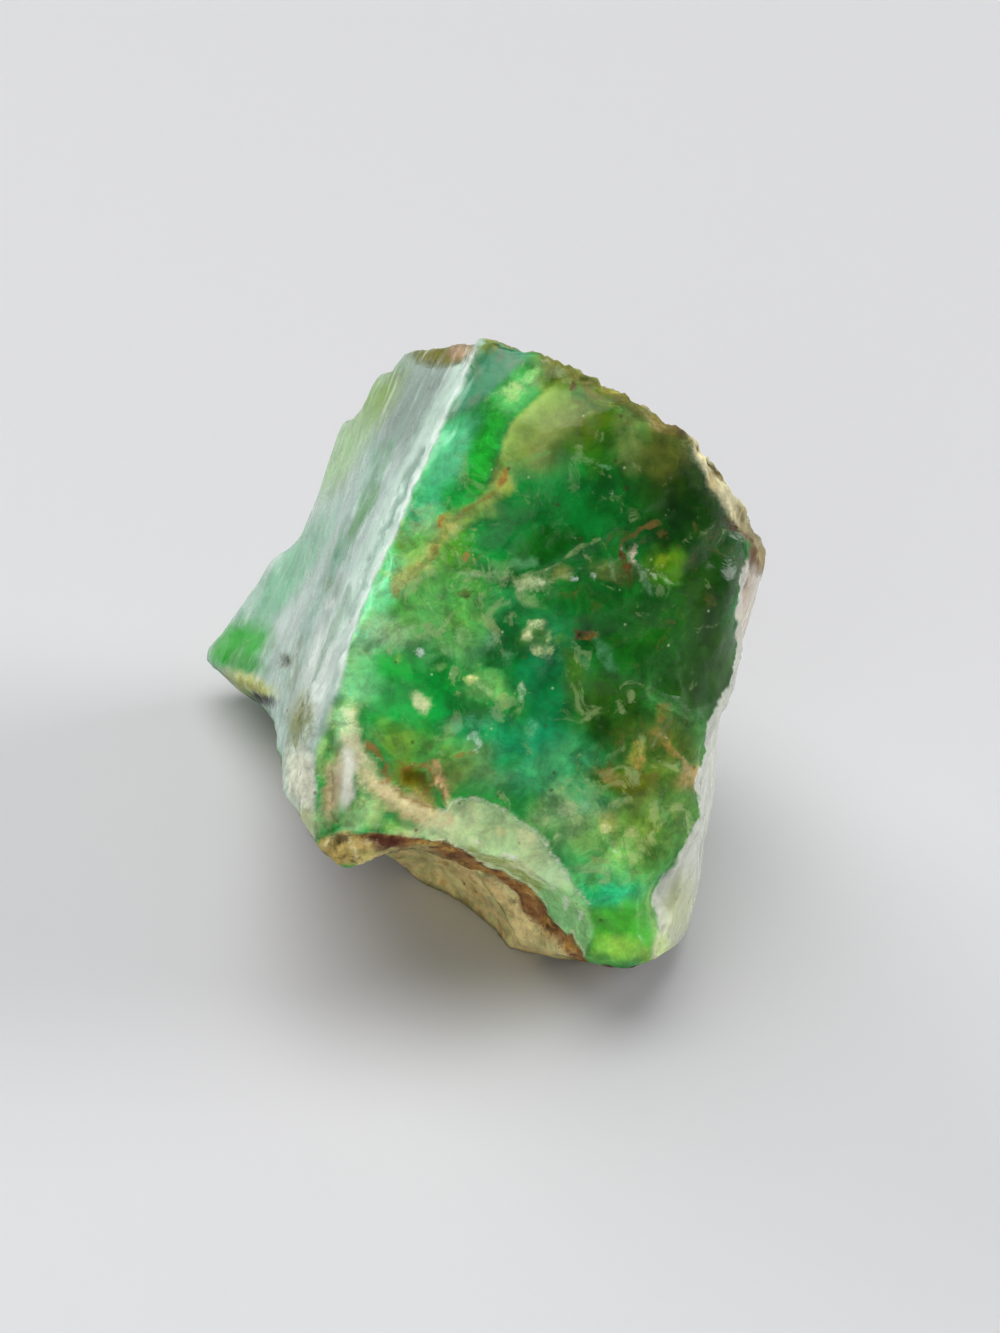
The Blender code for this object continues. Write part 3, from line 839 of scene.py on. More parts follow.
FACE_SPOTS = {
    "yellow spot": ((663, 562), (7, 8), 15, "#8a9c2c", 0.5, 0),
    "cloud left": ((474, 574), (14, 5), 5, "#9dbd86", 0.85, 0),
    "cloud mid": ((500, 574), (16, 6), -5, "#7fae72", 0.75, 0),
    "cloud right": ((532, 583), (20, 9), 8, "#b6c494", 0.95, 0),
    "cloud low": ((528, 600), (18, 7), 30, "#7fa867", 0.7, 0),
    "cloud tail": ((560, 574), (12, 7), -15, "#8b8f50", 0.75, 0),
    "brown stain": ((466, 594), (8, 6), 20, "#6b3a1c", 0.9, 0),
    "red stain": ((578, 633), (5, 4.5), 0, "#54200e", 0.97, 0),
    "red stain right": ((591, 636), (8, 5), 10, "#a0643c", 0.85, 0),
    "pit glow": ((633, 556), (3.4, 11), 12, "#c8b2a0", 0.9, 0),
    "pit dark": ((624, 553), (4.5, 12), 12, "#4a140c", 0.97, 0),
    "pit dark low": ((628, 568), (5, 6), 0, "#6a3320", 0.9, 0),
    # grey-green streaks below the pit: the stone's own streaks with a painted sheen on them
    "pit streak sheen a": ((642, 574), (3.5, 14), -25, "#7f9d7a", 0.7, 0),
    "pit streak sheen b": ((613, 568), (3.5, 12), -10, "#6d9068", 0.65, 0),
    "pit streak sheen c": ((650, 590), (3.5, 10), -15, "#5f8763", 0.65, 0),
    "pale streak": ((605, 656), (7, 19), -24, "#4d8a5c", 0.85, 0),
    "pale streak low": ((586, 664), (6, 12), -30, "#2f7a48", 0.6, 0),
    "leaf": ((420, 702), (7.5, 11), -35, "#cfe0a2", 1.0, 0),
    "bit a": ((470, 680), (7, 5), 10, "#ccd688", 1.0, 0),
    "bit b": ((486, 688), (9, 5), 30, "#9fc684", 0.85, 0),
    "bit b low": ((501, 695), (7, 5), 0, "#a3b86e", 0.85, 0),
    "bit c": ((521, 691), (3.5, 10), 0, "#a5c99b", 0.85, 0),
    "bit d": ((531, 728), (9, 9), 20, "#56b586", 0.7, 0),
    # painted glint
    "painted glint e": ((420, 654), (5, 6), 0, "#bfe0c0", 0.9, 0),
    "bit f": ((446, 648), (10, 6), 20, "#94bd84", 0.7, 0),
    "bit g": ((399, 655), (5, 5), 0, "#a5c25c", 0.8, 0),
    # painted glint, on a thin curved highlight
    "painted glint h": ((477, 739), (4, 8), -30, "#a8d6b6", 0.8, 0),
    "bit i": ((388, 574), (6, 4), 20, "#a9c973", 0.7, 0),
    "bit j": ((404, 524), (5, 6), 20, "#8fb85a", 0.7, 0),
    "ochre dot a": ((443, 522), (4, 7), 0, "#a5602c", 0.9, 0),
    "ochre dot b": ((421, 564), (4, 6), 20, "#8a5426", 0.9, 0),
    "ochre dot c": ((402, 548), (5, 6), 0, "#5f7a1e", 0.75, 0),
    "ochre dot d": ((435, 552), (5, 6), 0, "#6a5018", 0.8, 0),
    "ochre dot e": ((396, 592), (4, 5), 0, "#7a6a20", 0.8, 0),
    "ochre dot f": ((466, 557), (4, 5), 0, "#a5683e", 0.8, 0),
    "arc haze": ((474, 722), (28, 8), -10, "#56a578", 0.65, 0),
    "hollow dark": ((412, 779), (11, 6), 25, "#74621a", 0.25, 0),
    "hollow dark right": ((425, 786), (6, 12), -20, "#6f5a1e", 0.9, 0),
    "hollow olive": ((396, 770), (7, 10), 20, "#628a24", 0.8, 0),
    "hollow rust": ((419, 765), (14, 3), 10, "#8a5222", 0.9, 0),
    "pink corner": ((685, 770), (10, 6), 35, "#ab9068", 0.75, 0),
    "rust a": ((662, 712), (8, 9), 20, "#857032", 0.75, 0),
    "rust b": ((637, 752), (8, 11), 10, "#a9a048", 0.85, 0),
    "rust b2": ((640, 762), (6, 6), 0, "#b08c4a", 0.8, 0),
    "rust c": ((612, 778), (14, 6), 20, "#8f7c4a", 0.75, 0),
    "rust d": ((661, 735), (7, 13), -25, "#8f7a3c", 0.75, 0),
    "rust e": ((672, 750), (4, 12), -30, "#96783e", 0.75, 0),
    "pale blotch a": ((567, 809), (8, 9), 0, "#a3bc88", 0.8, 0),
    "pale blotch b": ((606, 826), (6, 6), 20, "#d0d298", 1.0, 0),
    "pale blotch c": ((631, 835), (8, 10), 0, "#a9b273", 0.85, 0),
    "pale blotch d": ((528, 836), (9, 7), 30, "#dcd89a", 0.85, 0),
    "pale blotch e": ((505, 834), (8, 6), 0, "#c2c08a", 0.7, 0),
    "rust f": ((600, 860), (14, 6), 0, "#98945a", 0.6, 0),
    "top glass": ((514, 391), (13, 8), -30, "#a5cc78", 0.85, 0),
    "top glass b": ((530, 376), (5, 9), 40, "#8ccf74", 0.8, 0),
    "notch": ((572, 386), (5, 5), 30, "#5a3218", 0.92, 0),
    "crest wart": ((545, 360), (6, 5), 30, "#b5b88a", 0.85, 0),
    "crest wart b": ((590, 392), (9, 4), 40, "#6b5a22", 0.75, 0),
    "crest wart c": ((612, 388), (9, 4), 20, "#b3a850", 0.8, 0),
    "ring left": ((528, 633), (6, 11), 0, "#cdd79e", 1.0, 0),
    "ring low": ((543, 650), (12, 6), 10, "#c8d096", 1.0, 0),
    "ring top": ((538, 624), (9, 5), -10, "#c4d49c", 0.95, 0),
    "ring right": ((549, 637), (3.5, 8), 0, "#9ab87c", 0.7, 0),
    "mid a": ((462, 636), (9, 9), 20, "#8fc07a", 0.75, 0),
    "mid b": ((440, 668), (8, 5), -20, "#7fb56a", 0.6, 0),
    "mid c": ((492, 640), (7, 9), 30, "#7fb588", 0.6, 0),
    "mid d": ((476, 618), (8, 5), 0, "#96b86a", 0.7, 0),
    "mid e": ((508, 656), (6, 8), 0, "#6fae7a", 0.6, 0),
    "mid f": ((560, 640), (5, 8), 20, "#5a8a30", 0.6, 0),
    "low a": ((586, 806), (6, 9), 10, "#7fb088", 0.7, 0),
    "low b": ((640, 852), (8, 6), 0, "#8fae66", 0.7, 0),
    "low c": ((556, 838), (6, 6), 0, "#a3bf86", 0.7, 0),
    "low d": ((664, 800), (6, 8), 0, "#5f8a34", 0.7, 0),
    "low e": ((628, 800), (6, 5), 0, "#8da65c", 0.7, 0),
    "knob top": ((490, 343), (10, 6), 0, "#7c803c", 0.9, 0),
    "glint a": ((612, 493), (2.6, 4), 0, "#c9e6c0", 0.95, 0),
    "glint b": ((595, 576), (2.6, 5), 0, "#cfe6cf", 0.95, 0),
    "glint c": ((574, 579), (3.6, 2.6), 0, "#cfe6cf", 0.95, 0),
    "glint d": ((606, 466), (7, 2.6), 5, "#6fae78", 0.8, 0),
    "lip glint a": ((478, 843), (6, 3), 20, "#d4e4c0", 0.8, 0),
    "lip glint b": ((512, 858), (8, 3.5), 32, "#dcecd0", 0.85, 0),
    "lip glint c": ((552, 890), (3.5, 5), -30, "#e0f0dc", 0.85, 0),
    "lip glint d": ((561, 905), (3, 7), -30, "#d8e8c8", 0.8, 0),
    "lip glint e": ((576, 917), (3.2, 3.6), 0, "#eafff0", 0.95, 0),
}

# Veins, and painted highlights along the edges: points in the picture, half width, colour,
# strength.
FACE_VEINS = {
    "orange vein": (
        [(505, 468), (504, 478), (500, 487), (493, 495), (484, 502)], 2.3, "#9c6234", 0.85,
    ),
    "orange vein low": ([(480, 504), (470, 509), (458, 516)], 2.3, "#8f6a34", 0.7),
    "cloud line": (
        [(465, 568), (482, 574), (500, 577), (520, 578), (540, 576), (556, 570),
         (570, 556), (586, 546), (600, 540)], 2.6, "#8fa86a", 0.7,
    ),
    "pit vein": (
        [(626, 545), (631, 538), (641, 530), (652, 526), (660, 522)], 2.2, "#6e5030", 0.8,
    ),
    "pit vein low": ([(628, 562), (633, 574), (628, 582)], 2.2, "#5a3020", 0.75),
    "window base": ([(509, 464), (524, 461), (550, 452)], 3.0, "#5c9c4c", 0.5),
    "right corner": ([(727, 520), (738, 527), (746, 535), (754, 541)], 3.0, "#4f2414", 0.95),
    "tan outline": (
        [(367, 745), (376, 752), (385, 764), (388, 776), (383, 784)], 3.0, "#8d5c2c", 0.9,
    ),
    "hollow outline": (
        [(404, 772), (412, 764), (428, 764), (436, 776), (440, 792), (448, 806)],
        2.8, "#8f5a2c", 0.85,
    ),
    "tan crust": (
        [(366, 772), (378, 786), (394, 799), (412, 809), (430, 816), (444, 820)],
        9.0, "#cdbf90", 0.9,
    ),
    "tan rim": (
        [(384, 779), (396, 788), (410, 797), (424, 806), (440, 811)], 2.0, "#97703c", 0.8,
    ),
    "tan rim low": ([(364, 778), (378, 797), (396, 811), (414, 819)], 1.8, "#a8905c", 0.6),
    "tan head": ([(352, 734), (356, 750), (362, 764)], 6.5, "#d6cca6", 0.9),
    "hollow stroke": ([(455, 757), (466, 753), (478, 753)], 2.2, "#8c6a34", 0.75),
    "spur band": ([(436, 768), (440, 780), (446, 798)], 6.0, "#c09a70", 0.9),
    "olive under the lip": (
        [(472, 853), (490, 861), (508, 871), (524, 882), (537, 893)], 5.0, "#7f9138", 0.85,
    ),
    "right rust": ([(675, 752), (682, 762), (692, 774)], 3.0, "#a08050", 0.75),
    "right rust left": ([(594, 768), (606, 780), (622, 782)], 2.8, "#8f7a48", 0.7),
    # painted highlight along the crest of the lip
    "lip crest highlight": (LIP_CREST, 2.0, "#d8e8c0", 0.65),
    "lip cream": ([(524, 834), (532, 840)], 7.0, "#e0daa0", 0.8),
    # painted highlight along the lower edge
    "low edge highlight": (LOW_EDGE[3:], 2.6, "#cfdcae", 0.8),
    # painted glint along a thin curve
    "painted glint line": ([(470, 740), (476, 733), (480, 742), (476, 752)], 2.4, "#b9d9c0", 0.7),
}

# Soft wide bands on the face.
FACE_BANDS = {
    "orange halo": (
        [(506, 462), (503, 484), (488, 502), (466, 516), (446, 524)], 8, "#98a04e", 0.8,
    ),
    "ochre band": (
        [(446, 522), (442, 538), (433, 550), (421, 564), (407, 575), (396, 587)],
        7, "#a3a356", 0.8,
    ),
    "emerald streak": ([(492, 566), (514, 562), (536, 562)], 4, "#5c9c68", 0.6),
    "tan strip": (
        [(350, 730), (354, 748), (362, 766), (376, 784), (394, 798), (412, 810),
         (432, 818), (454, 824)], 9, "#c9be8e", 0.95,
    ),
    "tan strip head": ([(352, 714), (350, 730), (354, 746)], 6, "#d0c898", 0.85),
    "tan foot": ([(394, 800), (416, 812), (438, 820)], 11, "#c2b884", 0.9),
    "low green": ([(362, 812), (376, 822), (396, 829)], 7, "#86b060", 0.75),
}

LIP = [(440, 812), (448, 803), (462, 799), (482, 801), (504, 810), (527, 826)]
LIP += [(544, 843), (558, 860), (567, 874), (576, 888), (588, 903), (594, 930)]
LIP += [(583, 955), (575, 943), (561, 930), (538, 902), (502, 874), (454, 848)]
LIP += [(415, 838), (398, 834), (420, 824)]

CREAM_STRIP = [(684, 430), (704, 420), (738, 444), (760, 480), (776, 510), (790, 543)]
CREAM_STRIP += [(784, 572), (763, 572), (755, 547), (741, 528), (728, 514), (718, 497)]
CREAM_STRIP += [(704, 470), (693, 450)]

LEFT_OUTLINE = [(489, 330), (470, 371), (449, 417), (428, 467), (395, 539)]
LEFT_OUTLINE += [(372, 589), (353, 640), (342, 686), (333, 706), (328, 730), (314, 762)]
LEFT_OUTLINE += [(316, 800), (312, 850), (250, 850), (190, 700), (190, 600), (330, 400)]
LEFT_OUTLINE += [(400, 330)]

LEFT_CLOUDS = {
    "upper face": ((420, 410), (44, 56), 30, "#84968b", 0.85, 0.6),
    "middle face": ((350, 560), (40, 90), 27, "#a9bcb3", 0.75, 0.6),
    # painted glare of the bright studio on the frosted left face: the pale band along the ridge and
    # the white clouds below it
    "painted ridge glare": ((392, 520), (12, 190), 25.5, "#c3dacb", 0.9, 0.45),
    "painted glare foot": ((318, 680), (16, 60), 14, "#ccd6cd", 0.85, 0.5),
    "painted glare middle": ((292, 620), (18, 50), 24, "#bfcbc4", 0.7, 0.6),
    "yellow rim": ((376, 402), (15, 40), 36, "#84a238", 0.9, 0.7),
    "green rim": ((344, 452), (16, 46), 28, "#9cbf8a", 0.85, 0.6),
    "green rim low": ((290, 574), (16, 66), 34, "#84b896", 0.85, 0.6),
    "left tip": ((238, 646), (32, 22), -24, "#4aa956", 0.97, 0.5),
    "left tip dark": ((244, 662), (22, 10), 20, "#4d9a38", 0.85, 0.5),
    "tip low": ((250, 684), (26, 9), 22, "#bcc082", 0.95, 0.5),
    "rag white": ((303, 780), (16, 36), -12, "#dcdcc6", 0.9, 0.5),
    "rag olive soft": ((302, 718), (14, 26), 10, "#8c9068", 0.8, 0.5),
    # painted shadow in the gap under the left tip, where it comes close to the ground
    "tip dark": ((262, 699), (16, 5), 15, "#4a4428", 0.9, 0.5),
    "bump": ((446, 352), (34, 15), 0, "#868556", 0.99, 0.4),
    "bump pale": ((462, 352), (12, 8), 0, "#b59c86", 0.85, 0.5),
}

LEFT_SPOTS = {
    "bump red": ((460, 360), (5, 5), 0, "#9a7a62", 0.6, 0),
    "pit olive": ((284.5, 661), (7, 8), 20, "#6f6c3c", 0.95, 0),
    "rag olive": ((306, 718), (10, 22), 12, "#7d8560", 0.9, 0),
    "rag olive low": ((296, 738), (6, 16), -5, "#9aa27c", 0.8, 0),
    "rough grey": ((336, 590), (7, 20), 20, "#8fa08c", 0.75, 0),
    "rough white": ((330, 604), (5, 8), 20, "#dbe2d8", 0.85, 0),
    "rough dark": ((327, 584), (4, 10), 20, "#7f8f6e", 0.75, 0),
}

LEFT_VEINS = {
    "green streak": (
        [(388, 446), (378, 466), (369, 496), (354, 527), (338, 556)], 8, "#7fa78a", 0.75,
    ),
    "green streak core": ([(374, 486), (362, 512), (350, 532)], 5, "#6c9a68", 0.75),
    "green streak low": ([(338, 556), (324, 584), (312, 612), (302, 640)], 6, "#86a896", 0.65),
    "second streak": ([(352, 590), (340, 622), (326, 656), (314, 684)], 4, "#84a08a", 0.7),
    "thin streak": ([(424, 452), (413, 476), (400, 504), (385, 536)], 3, "#7d9a8c", 0.7),
    "thin streak low": ([(381, 545), (368, 576), (352, 616)], 3, "#8aa898", 0.6),
    "grey streak": ([(300, 640), (296, 668), (290, 690)], 3.0, "#8d927f", 0.6),
    # painted highlight along the sharp ridge
    "painted ridge highlight": (RIDGE, 3.6, "#e0ede2", 0.9),
}

FOOT_CLOUDS = {
    "foot cream": ((343, 722), (12, 20), 10, "#b5cc9a", 0.9, 0.5),
    "sub face": ((325, 757), (9, 22), 0, "#8fbf6c", 0.95, 0.4),
    "rust band": ((328, 794), (5, 30), 2, "#dcc096", 0.9, 0.5),
    "white streak": ((348, 776), (8, 34), 3, "#e6e1c2", 0.97, 0.3),
    "grey streak": ((337, 782), (6, 34), 2, "#a89c7c", 0.9, 0.4),
    "foot green": ((370, 806), (14, 14), 20, "#a4bc78", 0.9, 0.5),
    "foot green low": ((352, 822), (12, 10), 20, "#8cb274", 0.8, 0.5),
    "foot left": ((308, 824), (12, 16), 0, "#a5b080", 0.85, 0.5),
}

FOOT_SPOTS = {
    "streak line a": ((342, 772), (2.2, 30), 2, "#a89e86", 0.45, 0),
    "streak line b": ((349, 782), (2.0, 24), -3, "#bdb6a2", 0.4, 0),
    "streak line c": ((334, 786), (2.0, 26), 2, "#8a7a5c", 0.6, 0),
    "rust line": ((331, 800), (2.6, 26), 0, "#85542f", 0.6, 0),
    "cream knot": ((366, 784), (9, 7), 0, "#dcd9a0", 0.9, 0),
}

SIDE_CLOUDS = {
    # painted glare of the bright studio on the side face
    "painted side glare": ((716, 775), (16, 60), 8, "#b9bbb1", 0.8, 0.5),
    "pinkish": ((748, 604), (14, 46), 8, "#b8ac9e", 0.8, 0.6),
    "corner rind": ((757, 555), (12, 16), -20, "#7c7048", 0.97, 0.5),
    "foot green": ((678, 908), (16, 34), 10, "#adb294", 0.85, 0.6),
    "foot lime": ((660, 948), (12, 14), 0, "#b8c892", 0.85, 0.6),
}

# Seen from below, in the picture units of an eye under the bench.
BELOW_CLOUDS = {
    "khaki": ((460, 960), (120, 110), 0, "#a4965c", 0.9, 0.5),
    "khaki pale": ((400, 930), (46, 80), 0, "#b5a878", 0.7, 0.6),
    "khaki right": ((560, 960), (60, 70), 0, "#b0a068", 0.7, 0.6),
    "red brown": ((322, 930), (40, 84), 8, "#57280f", 0.9, 0.5),
    "red brown low": ((330, 1080), (30, 50), 0, "#5c2f16", 0.85, 0.5),
    "olive left": ((300, 1130), (28, 60), 0, "#5f6a22", 0.7, 0.6),
    "green side": ((262, 830), (22, 150), -5, "#3f9a1e", 0.95, 0.4),
    "mint rim": ((240, 800), (8, 140), -5, "#5fbf8a", 0.7, 0.6),
    "dark band": ((430, 1118), (110, 28), -8, "#3c1c12", 0.95, 0.45),
    "dark band right": ((585, 1060), (74, 42), -22, "#3e1e12", 0.95, 0.45),
    "dark toe": ((642, 990), (34, 26), 0, "#36170f", 0.9, 0.5),
    "dark core": ((408, 1128), (24, 10), 0, "#1e0b08", 0.8, 0.5),
    "pale wedge": ((470, 1075), (70, 12), -14, "#b3a272", 0.85, 0.5),
    "pale corner": ((606, 993), (14, 9), 0, "#c5bb96", 0.8, 0.5),
}

BELOW_VEINS = {
    "long vein": (
        [(430, 890), (440, 930), (451, 960), (466, 1000), (482, 1030), (522, 1043)],
        5.0, "#5e2f1c", 0.9,
    ),
    "side vein": (
        [(372, 990), (392, 1030), (384, 1070), (410, 1100)], 5.0, "#6a3f22", 0.8,
    ),
    "thread": ([(522, 1043), (560, 1030), (600, 1020)], 3.0, "#6e4526", 0.7),
}

# Even-coloured spots: place, half sizes, turn, amount.
CALM = {
    "window": ((540, 424), (40, 48), 12, 0.75),
    "emerald": ((556, 508), (60, 42), -6, 0.45),
    "shoulder": ((690, 482), (50, 58), -30, 0.5),
    "side": ((694, 640), (50, 90), 0, 0.35),
    "toe": ((622, 925), (46, 34), 0, 0.6),
    "teal": ((550, 715), (40, 50), 8, 0.35),
    "head": ((455, 450), (22, 60), 26, 0.5),
    "left": ((408, 690), (46, 34), 4, 0.35),
}

# Rough, dull spots: place, half sizes, turn, amount.
RINDS = {
    "bump": ((446, 352), (34, 15), 0, 1.0),
    "corner": ((757, 555), (13, 20), -20, 0.9),
    "tip low": ((252, 688), (26, 10), 22, 0.8),
    "rag": ((304, 760), (20, 60), 0, 0.7),
    "hollow": ((417, 780), (20, 14), 25, 0.7),
    "tan": ((400, 800), (46, 14), 32, 0.5),
    "rust": ((328, 794), (7, 34), 2, 0.8),
    "under the strip": ((702, 482), (11, 50), -30, 0.55),
    "above the bite": ((670, 706), (32, 8), 29, 0.85),
}

# Where small pale clouds and rusty threads gather: place, half sizes, amount.
CLOUDY = {
    "left": ((428, 560), (46, 60), 0.75),
    "middle": ((470, 640), (56, 40), 0.7),
    "arc": ((500, 590), (70, 26), 0.5),
    "low": ((480, 720), (60, 30), 0.55),
    "low right": ((620, 820), (60, 60), 0.6),
    "right": ((600, 720), (50, 50), 0.15),
    "head": ((505, 385), (34, 30), 0.5),
    "side": ((690, 640), (40, 40), 0.1),
}
RUSTY = {
    "left": ((420, 560), (36, 56), 0.6),
    "rust": ((650, 750), (56, 40), 0.7),
    "hollow": ((410, 780), (50, 30), 0.6),
    "crest": ((620, 410), (90, 26), 0.6),
    "right": ((700, 560), (44, 60), 0.4),
    "pit": ((620, 560), (40, 30), 0.5),
    "middle": ((560, 640), (120, 60), 0.3),
    "low": ((640, 840), (50, 50), 0.4),
}


def dressed(code, side):
    """Base colour that looks like the code on this side of the stone."""
    share, gloss = LIGHT[side]
    return np.clip((linear(code) - gloss) / share, 0.002, 0.92)


class Crisp:
    """A second colour and how far it reaches: the material draws its edge finer than the mesh."""

    def __init__(self, many):
        self.share = np.zeros(many)
        self.colour = np.zeros((many, 3))
        self.strength = np.zeros(many)

    def add(self, share, colour, strength):
        more = share > self.share
        self.share = np.where(more, share, self.share)
        self.colour[more] = colour
        self.strength[more] = strength

    def spots(self, table, where, uv, side="face"):
        for place, size, turn, code, strength, _ in table.values():
            r = in_patch(uv, place, size, turn)
            self.add((1 - r / 2) * where, dressed(code, side), strength)

    def veins(self, table, where, uv, breaks, side="face"):
        for path, half, code, strength in table.values():
            d = from_path(uv, path) / (half * (1 + 0.4 * breaks))
            self.add((1 - d / 2) * where, dressed(code, side), strength)


def mix(tint, colour, share):
    share = np.clip(share, 0, 1)[:, None]
    return tint + share * (np.asarray(colour) - tint)


def clouds(tint, table, where, uv, side="bare"):
    for place, size, turn, code, strength, soft in table.values():
        r = in_patch(uv, place, size, turn)
        share = where * strength * (1 - ramp(r, 1 - soft, 1 + soft))
        tint = mix(tint, dressed(code, side), share)
    return tint


def bands(tint, table, where, uv, breaks, side="bare"):
    for path, half, code, strength in table.values():
        d = from_path(uv, path) / (half * (1 + 0.45 * breaks))
        tint = mix(tint, dressed(code, side), where * strength * (1 - ramp(d, 0.4, 1.5)))
    return tint


def gathered(table, uv):
    out = np.zeros(len(uv))
    for place, size, amount in table.values():
        out = np.maximum(out, amount * (1 - ramp(in_patch(uv, place, size, 0), 0.5, 1.4)))
    return out


def flat(code, many, side="bare"):
    return np.tile(dressed(code, side), (many, 1))


def colour(s, mesh):
    p, many = s.p, len(s.p)
    big, mid = layered(p, 7.0, 3, 101), layered(p, 3.0, 4, 102)
    small, tiny = layered(p, 1.2, 3, 103), layered(p, 0.55, 2, 104)
    q = along_ridge(p)
    streaks, threads = layered(q, 1.3, 4, 105), layered(q, 0.45, 3, 106)
    crisp = Crisp(many)
    # the body: green chalcedony, bluer and yellower by turns
    tint = flat("#1f7f3a", many)
    tint = mix(tint, linear("#0a7f58"), ramp(big, 0.0, 0.5) * 0.8)
    tint = mix(tint, linear("#3f6d1f"), ramp(mid, 0.05, 0.5) * 0.75)
    tint = mix(tint, linear("#2fa552"), ramp(-mid, 0.1, 0.5) * 0.6)
    tint = mix(tint, linear("#8fae62"), ramp(small + 0.5 * big, 0.45, 0.8) * 0.5)
    cloudy = 0.35 + 0.3 * ramp(big, -0.2, 0.4)
    rusty = 0.35 + 0.4 * ramp(layered(p, 9.0, 2, 108), -0.1, 0.3)
    rough = np.full(many, 0.19)
    rind = np.zeros(many)

    # rind on the top of the back, brown to cream
    skin = flat("#a99a68", many)
    skin = mix(skin, linear("#cdc28f"), ramp(mid, -0.05, 0.45) * 0.85)
    skin = mix(skin, linear("#7a6638"), ramp(-mid - 0.3 * small, 0.05, 0.5) * 0.85)
    skin = mix(skin, linear("#6b7a3c"), ramp(big, 0.12, 0.45) * 0.65)
    skin = mix(skin, linear("#8a5a34"), ramp(-big + 0.4 * small, 0.25, 0.6) * 0.6)
    skin = mix(skin, linear("#3f2614"), ramp(-small - 0.5 * tiny, 0.55, 0.85) * 0.7)
    edge = s.broad @ RIND + 0.16 * mid + 0.05 * small
    share = ramp(edge, 0.50, 0.62)
    hidden = (1 - s.seen) * (1 - ramp(from_path(s.uv, CREST), 20, 40))
    share = np.maximum(share, hidden)
    tint = mix(tint, skin, share)
    rind = np.maximum(rind, share)

    # matrix below: khaki crossed by red-brown
    matrix = flat("#a3955f", many)
    matrix = mix(matrix, linear("#5a2c15"), ramp(big + 0.5 * mid, -0.05, 0.35))
    matrix = mix(matrix, linear("#3a1a10"), ramp(mid, 0.2, 0.5) * 0.7)
    matrix = mix(matrix, linear("#5f7a2a"), ramp(-big, 0.15, 0.5) * 0.6)
    share = ramp(-s.broad[:, 2] + 0.16 * mid + 0.04 * small, 0.30, 0.46)
    tint = mix(tint, matrix, share)
    rind = np.maximum(rind, 0.7 * share)
    below = s.seen_below * (1 - s.seen) * ramp(-s.broad[:, 2], 0.0, 0.25)
    tint = clouds(tint, BELOW_CLOUDS, below, s.far_below)
    tint = mix(tint, tint * (1.35, 1.28, 1.15), below * ramp(small + 0.6 * tiny, 0.05, 0.5) * 0.7)
    tint = mix(tint, tint * (0.55, 0.50, 0.45), below * ramp(-small - 0.6 * tiny, 0.1, 0.5) * 0.7)
    crisp.veins(BELOW_VEINS, below, s.near_below, small, "bare")
    rind = np.maximum(rind, 0.8 * below)

    # side face: frosted and greyish, paler by a painted reflection of the bright studio, greener
    # away from the front
    side = flat("#b4bfae", many)
    side = mix(side, linear("#8fa98c"), ramp(mid, -0.05, 0.5) * 0.7)
    side = mix(side, linear("#ccd0c4"), ramp(streaks, 0.05, 0.45) * 0.6)
    side = mix(side, linear("#a39d7c"), ramp(small + 0.5 * big, 0.45, 1.0) * 0.35)
    plane = np.median((p @ FRONT)[(s.front > 0.9) & (s.seen > 0.9)])
    pale = 1 - ramp(plane - p @ FRONT + 2.5 * mid + small, 5, 11)
    side = mix(side, linear("#c8cabd"), pale * 0.9)
    side = mix(side, linear("#aeb6a8"), pale * ramp(streaks, 0.0, 0.5) * 0.3)
    share = ramp(s.broad @ ASIDE + 0.05 * small, 0.78, 0.86)
    share = np.maximum(share, (1 - s.seen) * ramp(s.broad @ ASIDE, 0.62, 0.72))
    beside = (from_path(s.uv, SIDE_EDGE) < 24) * ramp(s.turned @ ASIDE, 0.0, 0.2)
    beside = beside * (s.uv[:, 1] < 840)
    share = np.maximum(share, (1 - s.seen) * beside)
    tint = mix(tint, side, share * 0.95)

    # left face: frosted mint, made paler by a painted reflection of the bright studio
    frost_and_glare = flat("#a9bdb2", many, "left")
    frost_and_glare = mix(frost_and_glare, dressed("#93b3a2", "left"), ramp(streaks, 0.05, 0.5) * 0.7)
    frost_and_glare = mix(frost_and_glare, dressed("#c9d6ce", "left"), ramp(-streaks, 0.1, 0.5) * 0.7)
    tint = mix(tint, frost_and_glare, s.left * (1 - below))

    # the struck face
    seen = s.seen
    left = s.soft(within(s.uv + 0.4 * (s.near - s.uv), LEFT_OUTLINE), 1) * seen
    steady = s.uv + 0.5 * (s.near - s.uv)
    side_of = signed(steady, SIDE_EDGE) - 12 * np.maximum(s.turned @ ASIDE - 0.78, -0.05)
    inland = ramp(s.turned @ ASIDE, 0.90, 0.96) * (from_path(s.uv, SIDE_EDGE) < 4)
    aside = seen * np.maximum(ramp(-side_of, -1.5, 2.0), inland)
    aside = aside * (s.uv[:, 1] > 535) * (s.uv[:, 0] > 640)
    strip = signed(s.uv + 0.5 * (s.near - s.uv), LOW_EDGE)
    under = seen * ramp(strip, -1.0, 1.5) * (s.uv[:, 0] > 356) * (s.uv[:, 0] < 592)
    under = under * (s.uv[:, 1] > 826)
    face = seen * (1 - left) * (1 - aside) * (1 - under)
    tint = mix(tint, dressed("#2f8a3e", "face"), face)
    tint = clouds(tint, FACE_CLOUDS, face, s.far, "face")
    tint = mix(tint, tint * (1.30, 1.18, 1.05), face * ramp(mid, 0.10, 0.28) * 0.45)
    tint = mix(tint, tint * (0.55, 0.75, 0.65), face * ramp(-mid, 0.12, 0.30) * 0.5)
    tint = bands(tint, FACE_BANDS, face, s.near, small, "face")
